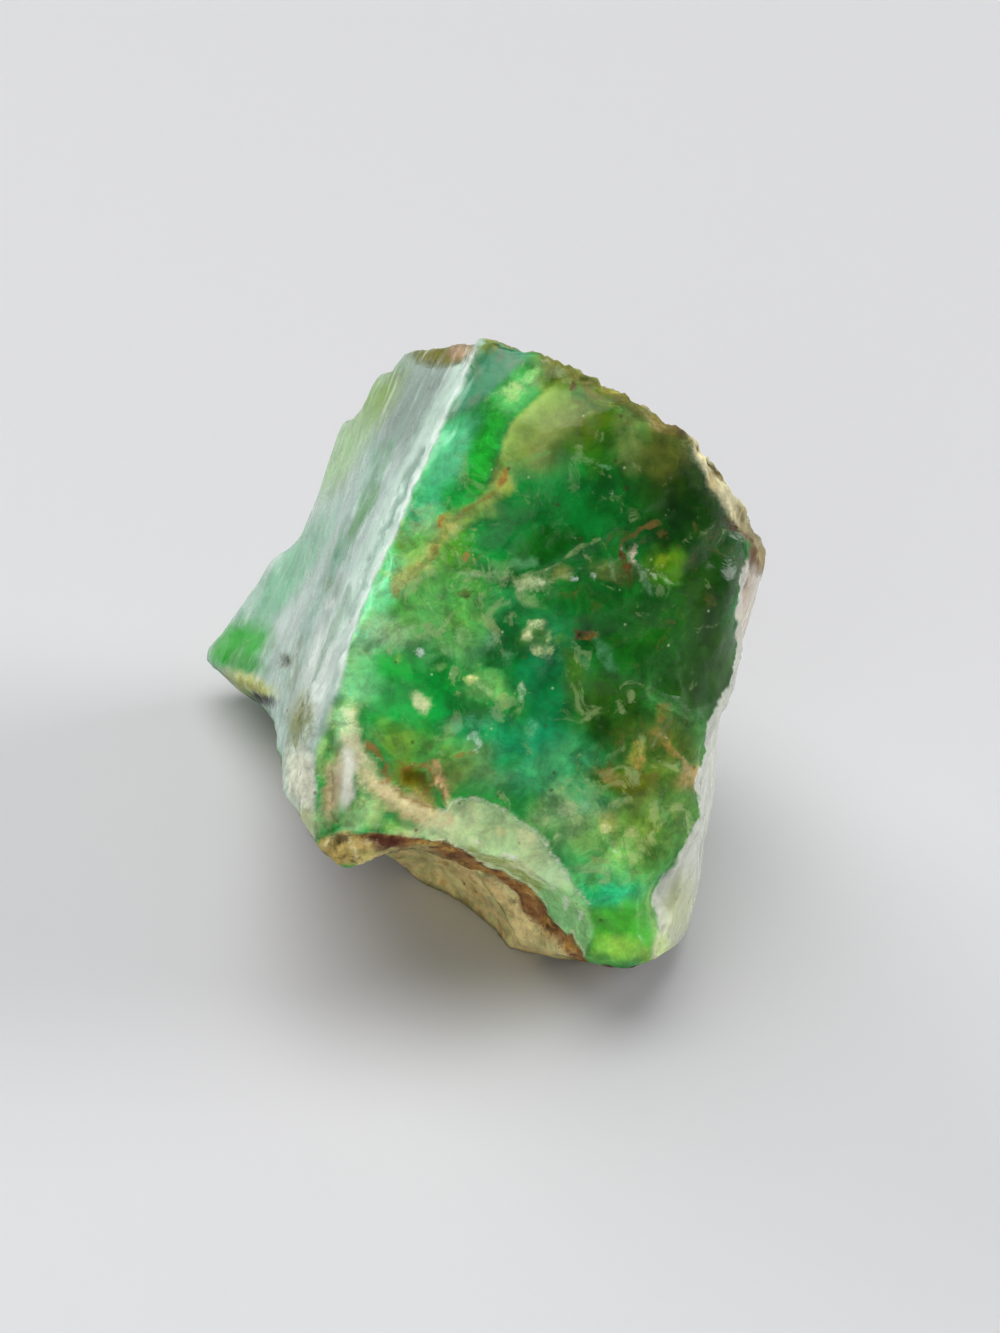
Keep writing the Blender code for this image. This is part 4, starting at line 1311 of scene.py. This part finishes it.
    # window: a pale edge on the left, olive yellow, then into the dark green
    inwards = -signed(s.uv, WINDOW_EDGE)
    window = face * ramp(inwards, -1.0, 2.0) * (1 - ramp(inwards + 12 * mid, 50, 84))
    window *= 1 - ramp(s.uv[:, 1] + 8 * mid, 450, 486)
    window *= ramp(s.uv[:, 1] - 0.5 * (s.uv[:, 0] - 548), 372, 390)
    pane = mix(flat("#7e9a44", many, "face"), dressed("#7f8d46", "face"), ramp(inwards, 8, 34))
    pane = mix(pane, dressed("#94b058", "face"), 1 - ramp(inwards, 2, 12))
    pane = mix(pane, dressed("#4c681c", "face"), ramp(inwards + 10 * mid, 36, 56))
    tint = mix(tint, pane, window * 0.95)
    bevel = s.soft(within(s.uv, BEVEL), 1) * face
    grey = mix(flat("#5a9c78", many, "head"), dressed("#789a7e", "head"), ramp(small, 0, 0.5))
    tint = mix(tint, grey, bevel * 0.95)
    lip = s.soft(within(steady, LIP), 1) * face
    shell = flat("#bccd99", many, "face")
    shell = mix(shell, dressed("#cccd9a", "face"), ramp(mid, 0.0, 0.5) * 0.8)
    far_end = ramp(s.uv[:, 0] + 20 * mid, 525, 585)
    shell = mix(shell, dressed("#bce2aa", "face"), far_end * 0.85)
    shell = mix(shell, dressed("#84c478", "face"), ramp(s.uv[:, 1] + 8 * mid, 880, 900) * 0.8)
    tint = mix(tint, shell, lip * 0.85)
    crisp.spots(FACE_SPOTS, face, s.near)
    crisp.veins(FACE_VEINS, face, s.near, small)
    cloudy = np.where(face > 0.5, gathered(CLOUDY, s.far) * (1 - lip), cloudy)
    rusty = np.where(face > 0.5, gathered(RUSTY, s.far) * (1 - lip), rusty)

    # left face as seen, with painted glare of the studio on it
    frost_and_glare = mix(frost_and_glare, dressed("#b3c5bb", "left"), np.full(many, 0.3))
    tint = mix(tint, frost_and_glare, left)
    tint = clouds(tint, LEFT_CLOUDS, left, s.near, "left")
    # pale streaks along the grain, partly painted glare
    pale = left * ramp(threads + 0.5 * streaks, 0.25, 0.7)
    tint = mix(tint, dressed("#dfe8de", "left"), pale * 0.4)
    dark = left * ramp(-threads - 0.5 * streaks, 0.3, 0.8)
    tint = mix(tint, tint * (0.70, 0.80, 0.74), dark * 0.6)
    tint = bands(tint, LEFT_VEINS, left, s.near, small, "left")
    crisp.spots(LEFT_SPOTS, left, s.near, "left")
    foot = seen * (1 - aside)
    tint = clouds(tint, FOOT_CLOUDS, foot, s.near, "face")
    crisp.spots(FOOT_SPOTS, foot, s.near, "face")
    cloudy, rusty = cloudy * (1 - left), rusty * (1 - left)

    # side face as seen, pale with painted glare of the studio
    tint = mix(tint, side, aside)
    tint = clouds(tint, SIDE_CLOUDS, aside, s.near, "side")
    dark = ramp(threads + 0.4 * small, 0.55, 0.8)
    tint = mix(tint, linear("#5a5148"), aside * dark * 0.6)
    cloudy, rusty = cloudy * (1 - aside), rusty * (1 - aside)

    # brown strip under the low edge, nub, crest
    strip_t = np.clip(from_path(s.uv, LOW_EDGE) / 40.0, 0, 1)
    strip_t = np.maximum(strip_t, ramp(p[:, 1], -12.0, -10.0))
    rock = mix(flat("#6b4a2a", many, "shade"), dressed("#8d6a33", "shade"), ramp(small, -0.1, 0.4))
    rock = mix(rock, dressed("#3a1c10", "shade"), ramp(-tiny, 0.1, 0.5) * 0.9)
    rock = mix(rock, dressed("#b49c6c", "shade"), ramp(strip_t + 0.25 * mid, 0.28, 0.45))
    rock = mix(rock, dressed("#8a6d3c", "shade"), ramp(small + tiny, 0.3, 0.7) * 0.6)
    tint = mix(tint, rock, under)
    red = (1 - ramp(in_patch(s.near, (386, 842), (24, 8), 5), 0.6, 1.3)) * seen
    tint = mix(tint, dressed("#43150f", "face"), red * 0.9)
    nub = (1 - ramp(in_patch(s.near, (344, 849), (31, 17), 0), 0.75, 1.15)) * seen
    grit = mix(flat("#cbae60", many), linear("#f0e2a8"), ramp(tiny, 0.1, 0.6))
    grit = mix(grit, linear("#55401a"), ramp(-tiny, 0.15, 0.6))
    tint = mix(tint, grit, nub * 0.95)
    crest = seen * (1 - ramp(from_path(s.near, CREST), 5, 14))
    crust = mix(flat("#716a26", many), linear("#9c9046"), ramp(small, 0.0, 0.5))
    crust = mix(crust, linear("#54391b"), ramp(-small, 0.1, 0.5) * 0.8)
    tint = mix(tint, crust, crest * 0.7)
    cream = s.soft(within(s.near, CREAM_STRIP), 1) * seen
    chalk = flat("#c6be96", many, "face")
    chalk = mix(chalk, dressed("#887d58", "face"), ramp(s.uv[:, 1] + 12 * mid, 510, 536))
    chalk = mix(chalk, dressed("#8f7f4c", "face"), ramp(small + 0.5 * tiny, 0.1, 0.5) * 0.6)
    tint = mix(tint, chalk, cream * 0.95)

    for place, size, turn, amount in RINDS.values():
        here = 1 - ramp(in_patch(s.near, place, size, turn), 0.8, 1.15)
        rind = np.maximum(rind, amount * seen * here)
    rind = np.maximum(rind, np.maximum(0.8 * under, 0.9 * nub))
    rind = np.maximum(rind, np.maximum(0.75 * crest, 0.8 * cream))
    for place, size, turn, depth in PITS.values():
        rind = np.maximum(rind, 0.6 * seen * pit_floor(in_patch(s.near, place, size, turn)))
    rind = rind * (1 - 0.5 * under * ramp(strip_t, 0.3, 0.5))
    rough = rough + 0.45 * rind + 0.07 * np.clip(mid, -1, 1)
    # where the face turns towards the side it is painted darker, a painted shade, and made rougher
    # lower down
    facet = face * ramp(s.turned @ ASIDE, 0.70, 0.85)
    rough = np.maximum(rough, 0.5 * facet * ramp(s.uv[:, 1], 620, 670))
    tint = mix(tint, tint * 0.78, facet)
    frosted = np.where(seen > 0.5, left, s.left * (1 - below))
    rough = np.maximum(rough, 0.26 * frosted)
    streaky = np.where(seen > 0.5, left + aside, np.maximum(s.left, s.aside) * (1 - below))
    foot_streaks = seen * (1 - ramp(in_patch(s.near, (342, 778), (15, 40), 2), 0.75, 1.2))
    streaky = np.maximum(streaky, foot_streaks)
    golden = np.maximum(0.8 * nub, 0.75 * under * (1 - ramp(strip_t + 0.2 * mid, 0.45, 0.8)))
    rusted = 1 - ramp(in_patch(s.near, (330, 812), (9, 26), 0), 0.7, 1.2)
    golden = np.maximum(golden, seen * 0.35 * rusted)
    golden = np.maximum(golden, 0.3 * crest)
    clear = np.clip(1 - rind * 1.2 - 0.4 * left - 0.5 * aside, 0, 1)
    calm = np.maximum(streaky, np.maximum(0.9 * bevel, 0.55 * lip))
    for place, size, turn, amount in CALM.values():
        here = 1 - ramp(in_patch(s.far, place, size, turn), 0.6, 1.3)
        calm = np.maximum(calm, amount * face * here)
    cloudy, rusty = cloudy * (1 - rind), rusty * (1 - 0.6 * rind)
    save_attributes(
        mesh,
        {"tint": (tint, np.ones(many)), "accent": (crisp.colour, crisp.strength)},
        {
            "reach": crisp.share,
            "rough": np.clip(rough, 0.1, 0.9),
            "rind": rind,
            "golden": golden,
            "clear": clear,
            "lively": np.clip(clear * (1 - calm), 0, 1),
            "cloudy": np.clip(cloudy, 0, 1),
            "rusty": np.clip(rusty, 0, 1),
            "streaky": streaky,
        },
    )


def save_attributes(mesh, colours, numbers):
    for name, (rgb, alpha) in colours.items():
        rgba = np.concatenate([np.clip(rgb, 0, 1), alpha[:, None]], 1)
        layer = mesh.color_attributes.new(name, "FLOAT_COLOR", "POINT")
        layer.data.foreach_set("color", rgba.astype(np.float32).ravel())
    for name, values in numbers.items():
        layer = mesh.attributes.new(name, "FLOAT", "POINT")
        layer.data.foreach_set("value", values.astype(np.float32))


# ------------------------------------------------------------------- material
class Nodes:
    """Short hand for building a node tree."""

    def __init__(self, tree):
        self.tree = tree

    def new(self, kind, **settings):
        node = self.tree.nodes.new(kind)
        for name, value in settings.items():
            setattr(node, name, value)
        return node

    def link(self, a, b):
        self.tree.links.new(a, b)

    def put(self, socket, value):
        if isinstance(value, (int, float)):
            socket.default_value = value
        elif isinstance(value, tuple):
            socket.default_value = (*value, 1.0) if len(socket.default_value) == 4 else value
        else:
            self.link(value, socket)

    def attribute(self, name, output="Fac"):
        return self.new("ShaderNodeAttribute", attribute_name=name).outputs[output]

    def noise(self, where, scale, detail=4.0, rough=0.55, bend=0.0):
        node = self.new("ShaderNodeTexNoise")
        self.link(where, node.inputs["Vector"])
        for name, value in (
            ("Scale", scale), ("Detail", detail), ("Roughness", rough), ("Distortion", bend),
        ):
            node.inputs[name].default_value = value
        return node.outputs["Fac"]

    def cells(self, where, scale):
        node = self.new("ShaderNodeTexVoronoi")
        self.link(where, node.inputs["Vector"])
        node.inputs["Scale"].default_value = scale
        split = self.new("ShaderNodeSeparateColor")
        self.link(node.outputs["Color"], split.inputs["Color"])
        return node.outputs["Distance"], split.outputs["Red"]

    def spread(self, value, low, high, to_low=0.0, to_high=1.0):
        node = self.new("ShaderNodeMapRange", clamp=True)
        for name, number in (
            ("Value", value), ("From Min", low), ("From Max", high),
            ("To Min", to_low), ("To Max", to_high),
        ):
            self.put(node.inputs[name], number)
        return node.outputs["Result"]

    def maths(self, operation, a, b=None):
        node = self.new("ShaderNodeMath", operation=operation)
        self.put(node.inputs[0], a)
        if b is not None:
            self.put(node.inputs[1], b)
        return node.outputs["Value"]

    def times(self, a, b):
        return self.maths("MULTIPLY", a, b)

    def plus(self, a, b):
        return self.maths("ADD", a, b)

    def near_half(self, value, width):
        """1 where the value is close to a half: thin winding lines."""
        off = self.maths("ABSOLUTE", self.plus(value, -0.5))
        return self.spread(off, 0.0, width, 1.0, 0.0)

    def blend(self, kind, share, a, b):
        node = self.new("ShaderNodeMix", data_type="RGBA", blend_type=kind)
        self.put(node.inputs[0], share)
        self.put(node.inputs[6], a)
        self.put(node.inputs[7], b)
        return node.outputs[2]

    def grey(self, value):
        node = self.new("ShaderNodeCombineColor")
        for socket in node.inputs:
            self.link(value, socket)
        return node.outputs["Color"]


def chalcedony():
    material = bpy.data.materials.new("chalcedony")
    material.use_nodes = True
    tree = material.node_tree
    shader = tree.nodes["Principled BSDF"]
    k = Nodes(tree)
    where = k.new("ShaderNodeTexCoord").outputs["Object"]
    rind, clear = k.attribute("rind"), k.attribute("clear")
    cloudy, rusty = k.attribute("cloudy"), k.attribute("rusty")
    streaky = k.attribute("streaky")
    colour = k.attribute("tint", "Color")

    # the same place, drawn out along the ridge
    way = unit(np.array(CORNERS["knob"]) - np.array(CORNERS["ridge_foot"]))
    dot = k.new("ShaderNodeVectorMath", operation="DOT_PRODUCT")
    k.link(where, dot.inputs[0])
    dot.inputs[1].default_value = tuple(way)
    run = k.new("ShaderNodeVectorMath", operation="SCALE")
    run.inputs[0].default_value = tuple(-0.8 * way)
    k.link(dot.outputs["Value"], run.inputs["Scale"])
    drawn = k.new("ShaderNodeVectorMath", operation="ADD")
    k.link(where, drawn.inputs[0])
    k.link(run.outputs["Vector"], drawn.inputs[1])
    drawn = drawn.outputs["Vector"]

    # clouding finer than the mesh
    fine = k.noise(where, 700.0, 8.0, 0.68, 0.3)
    cloud = k.spread(fine, 0.38, 0.62, 0.60, 1.42)
    lively = k.attribute("lively")
    colour = k.blend("MULTIPLY", k.spread(lively, 0.0, 1.0, 0.35, 0.95), colour, k.grey(cloud))
    warm = k.spread(k.noise(where, 420.0, 7.0, 0.62, 0.4), 0.5, 0.62)
    warm = k.times(k.times(warm, lively), 0.5)
    colour = k.blend("MULTIPLY", warm, colour, (1.0, 0.88, 0.5))
    cool = k.spread(k.noise(where, 530.0, 7.0, 0.62, 0.4), 0.52, 0.64)
    cool = k.times(k.times(cool, lively), 0.5)
    colour = k.blend("MULTIPLY", cool, colour, (0.45, 1.0, 1.1))

    # small pale clouds with crisp edges
    puff = k.noise(where, 560.0, 9.0, 0.66, 0.8)
    puff = k.spread(k.plus(puff, k.times(cloudy, 0.15)), 0.595, 0.655)
    colour = k.blend("MIX", k.times(k.times(puff, lively), 0.45), colour, (0.42, 0.56, 0.24))
    deep = k.spread(k.noise(where, 380.0, 8.0, 0.64, 0.8), 0.475, 0.445)
    colour = k.blend("MULTIPLY", k.times(k.times(deep, lively), 0.65), colour, (0.40, 0.76, 0.62))
    zone = k.spread(k.noise(where, 260.0, 9.0, 0.6, 1.2), 0.515, 0.53)
    zone = k.times(k.times(zone, lively), k.spread(cloudy, 0.0, 0.7, 0.12, 0.6))
    colour = k.blend("MULTIPLY", zone, colour, (1.5, 1.25, 1.1))

    # rusty stains and threads
    stain = k.noise(where, 480.0, 9.0, 0.70, 0.6)
    stain = k.spread(k.plus(stain, k.times(rusty, 0.16)), 0.63, 0.70)
    stain = k.times(stain, k.spread(k.noise(where, 1900.0, 5.0, 0.7), 0.42, 0.60, 0.15, 1.0))
    colour = k.blend("MIX", k.times(stain, 0.5), colour, (0.20, 0.13, 0.035))
    thread = k.near_half(k.noise(where, 240.0, 9.0, 0.62, 0.5), 0.013)
    thread = k.times(thread, k.spread(rusty, 0.15, 0.6))
    thread = k.times(thread, k.spread(k.noise(where, 300.0, 3.0), 0.45, 0.55))
    colour = k.blend("MIX", k.times(thread, 0.5), colour, (0.20, 0.11, 0.035))

    # grit of the rind and the matrix, with dark pores
    grit = k.spread(k.noise(where, 1500.0, 7.0, 0.72), 0.34, 0.66, 0.45, 1.55)
    colour = k.blend("MULTIPLY", k.times(rind, 0.75), colour, k.grey(grit))
    rusted = k.spread(k.noise(where, 850.0, 8.0, 0.7, 0.5), 0.55, 0.66)
    colour = k.blend("MIX", k.times(k.times(rusted, rind), 0.35), colour, (0.22, 0.11, 0.04))
    distance, pick = k.cells(where, 950.0)
    pore = k.times(k.spread(distance, 0.12, 0.30, 1.0, 0.0), k.maths("GREATER_THAN", pick, 0.82))
    colour = k.blend("MIX", k.times(k.times(pore, rind), 0.5), colour, (0.045, 0.025, 0.012))

    # golden grains with dark gaps on the brown skin
    golden = k.attribute("golden")
    grain_of = k.noise(where, 1050.0, 9.0, 0.74, 0.6)
    gap = k.times(k.spread(grain_of, 0.485, 0.425), golden)
    colour = k.blend("MIX", k.times(gap, 0.75), colour, (0.035, 0.014, 0.007))
    light = k.times(k.spread(grain_of, 0.55, 0.63), golden)
    colour = k.blend("MIX", k.times(light, 0.6), colour, (0.62, 0.46, 0.20))

    # the crisp second colour
    ragged = k.plus(k.times(k.noise(where, 1300.0, 9.0, 0.75), 1.7), -0.85)
    reach = k.plus(k.attribute("reach"), ragged)
    reach = k.times(k.spread(reach, 0.38, 0.74), k.times(k.attribute("accent", "Alpha"), 0.92))
    speckle = k.noise(where, 2300.0, 6.0, 0.72)
    reach = k.times(reach, k.spread(speckle, 0.40, 0.58, 0.30, 1.0))
    wave_of = k.spread(k.noise(where, 1900.0, 6.0, 0.7), 0.3, 0.7, 0.7, 1.3)
    accent = k.blend("MULTIPLY", 1.0, k.attribute("accent", "Color"), k.grey(wave_of))
    colour = k.blend("MIX", reach, colour, accent)

    # streaks of the frosted faces
    lines = k.noise(drawn, 1500.0, 5.0, 0.6)
    pale = k.times(k.spread(lines, 0.56, 0.68), streaky)
    colour = k.blend("MIX", k.times(pale, 0.16), colour, (0.74, 0.80, 0.74))
    dark = k.times(k.spread(lines, 0.42, 0.34), streaky)
    colour = k.blend("MULTIPLY", k.times(dark, 0.25), colour, (0.55, 0.66, 0.58))

    # dark flecks and white sparkles
    distance, pick = k.cells(where, 1500.0)
    fleck = k.times(k.spread(distance, 0.10, 0.22, 1.0, 0.0), k.maths("GREATER_THAN", pick, 0.94))
    colour = k.blend("MIX", k.times(fleck, 0.6), colour, (0.06, 0.035, 0.012))
    distance, pick = k.cells(where, 2100.0)
    spark = k.times(k.spread(distance, 0.08, 0.20, 1.0, 0.0), k.maths("GREATER_THAN", pick, 0.955))
    colour = k.blend("MIX", k.times(k.times(spark, clear), 0.6), colour, (0.60, 0.74, 0.45))
    k.link(colour, shader.inputs["Base Color"])

    worn = k.spread(k.noise(where, 600.0, 4.0), 0.3, 0.7, -0.07, 0.12)
    k.link(k.plus(k.attribute("rough"), worn), shader.inputs["Roughness"])

    grain = k.times(k.noise(where, 2600.0, 6.0, 0.65), k.spread(rind, 0.0, 1.0, 0.12, 1.1))
    swell = k.times(k.noise(where, 430.0, 5.0, 0.5, 0.5), k.spread(streaky, 0.0, 1.0, 1.3, 0.3))
    hackle = k.times(k.noise(drawn, 900.0, 5.0, 0.6), k.times(streaky, 0.7))
    crust = k.times(k.noise(where, 850.0, 6.0, 0.6), k.times(rind, 1.6))
    height = k.plus(k.plus(grain, swell), k.plus(hackle, crust))
    bump = k.new("ShaderNodeBump")
    bump.inputs["Strength"].default_value = 0.8
    bump.inputs["Distance"].default_value = 0.00013
    k.link(height, bump.inputs["Height"])
    k.link(bump.outputs["Normal"], shader.inputs["Normal"])

    shader.inputs["IOR"].default_value = 1.54
    shader.inputs["Specular IOR Level"].default_value = 0.24
    shader.inputs["Subsurface Radius"].default_value = (0.35, 1.0, 0.45)
    shader.inputs["Subsurface Scale"].default_value = 0.0012
    k.link(k.times(clear, 0.18), shader.inputs["Subsurface Weight"])
    return material


def make_stone():
    obj = rough_out()
    mesh = obj.data
    put(mesh, flaked(mesh))
    mesh = resampled(obj, FINE)
    points = points_of(mesh)
    put(mesh, settled(points, edges_of(mesh), 1))
    s = Sites(mesh)
    colour(s, mesh)
    points = s.p + s.n * relief(s)[:, None] + SHIFT
    low, high = np.array(cad_box[0]) / MM, np.array(cad_box[1]) / MM
    put(mesh, np.clip(points, low, high))
    for face in mesh.polygons:
        face.use_smooth = True
    mesh.materials.clear()
    mesh.materials.append(chalcedony())
    obj.name = mesh.name = "chrysoprase_stone"
    return obj


# ------------------------------------------------------------ floor and light
def plain(name, colour, roughness):
    material = bpy.data.materials.new(name)
    material.use_nodes = True
    shader = material.node_tree.nodes["Principled BSDF"]
    shader.inputs["Base Color"].default_value = (*colour, 1.0)
    shader.inputs["Roughness"].default_value = roughness
    return material


def floor():
    bm = bmesh.new()
    bmesh.ops.create_circle(bm, cap_ends=True, segments=96, radius=3.0)
    mesh = bpy.data.meshes.new("floor")
    bm.to_mesh(mesh)
    bm.free()
    obj = bpy.data.objects.new("floor", mesh)
    bpy.context.scene.collection.objects.link(obj)
    obj.data.materials.append(plain("pale floor", (0.63, 0.63, 0.64), 0.55))


def backdrop():
    """Plain pale paper behind the stone, out of the way of its light."""
    bm = bmesh.new()
    bmesh.ops.create_cone(
        bm, cap_ends=False, segments=96, radius1=2.4, radius2=2.4, depth=1.6
    )
    bmesh.ops.reverse_faces(bm, faces=bm.faces)
    mesh = bpy.data.meshes.new("backdrop")
    bm.to_mesh(mesh)
    bm.free()
    for face in mesh.polygons:
        face.use_smooth = True
    obj = bpy.data.objects.new("backdrop", mesh)
    bpy.context.scene.collection.objects.link(obj)
    obj.location = (0.0, 0.0, 0.79)
    material = plain("pale paper", (0.02, 0.02, 0.02), 0.9)
    shader = material.node_tree.nodes["Principled BSDF"]
    shader.inputs["Emission Color"].default_value = (0.70, 0.705, 0.72, 1.0)
    shader.inputs["Emission Strength"].default_value = 1.0
    mesh.materials.append(material)
    obj.visible_shadow = obj.visible_diffuse = obj.visible_glossy = False


def soft_light(name, place, strength, degrees):
    """A far, broad light that shines from the place towards the stone."""
    light = bpy.data.lights.new(name, "SUN")
    light.energy = strength
    light.angle = np.radians(degrees)
    obj = bpy.data.objects.new(name, light)
    bpy.context.scene.collection.objects.link(obj)
    obj.location = place
    obj.rotation_euler = Vector(place).to_track_quat("Z", "Y").to_euler()


def sky(strength):
    world = bpy.data.worlds.new("studio")
    bpy.context.scene.world = world
    world.use_nodes = True
    back = world.node_tree.nodes["Background"]
    back.inputs["Color"].default_value = (0.93, 0.95, 1.0, 1.0)
    back.inputs["Strength"].default_value = strength


def camera():
    data = bpy.data.cameras.new("camera")
    data.lens = FOCAL * 36.0 / 1333.0
    data.sensor_width = 36.0
    data.clip_start, data.clip_end = 0.01, 20.0
    obj = bpy.data.objects.new("camera", data)
    bpy.context.scene.collection.objects.link(obj)
    turn = Matrix((RIGHT, UP, -LOOK)).transposed().to_4x4()
    obj.matrix_world = Matrix.Translation(Vector((EYE + SHIFT) * MM)) @ turn
    bpy.context.scene.camera = obj


camera()
floor()
backdrop()
sky(0.17)
soft_light("overhead", (-0.10, 0.05, 0.45), 1.95, 60)
soft_light("left_back", (-0.40, 0.35, 0.16), 1.2, 44)
soft_light("right", (0.42, 0.12, 0.17), 1.95, 36)
soft_light("front", (-0.18, -0.50, 0.30), 0.45, 40)
bpy.context.scene.view_settings.view_transform = "Standard"
bpy.context.scene.view_settings.look = "None"

stone = make_stone()
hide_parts("chrysoprase")
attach(stone, "root")
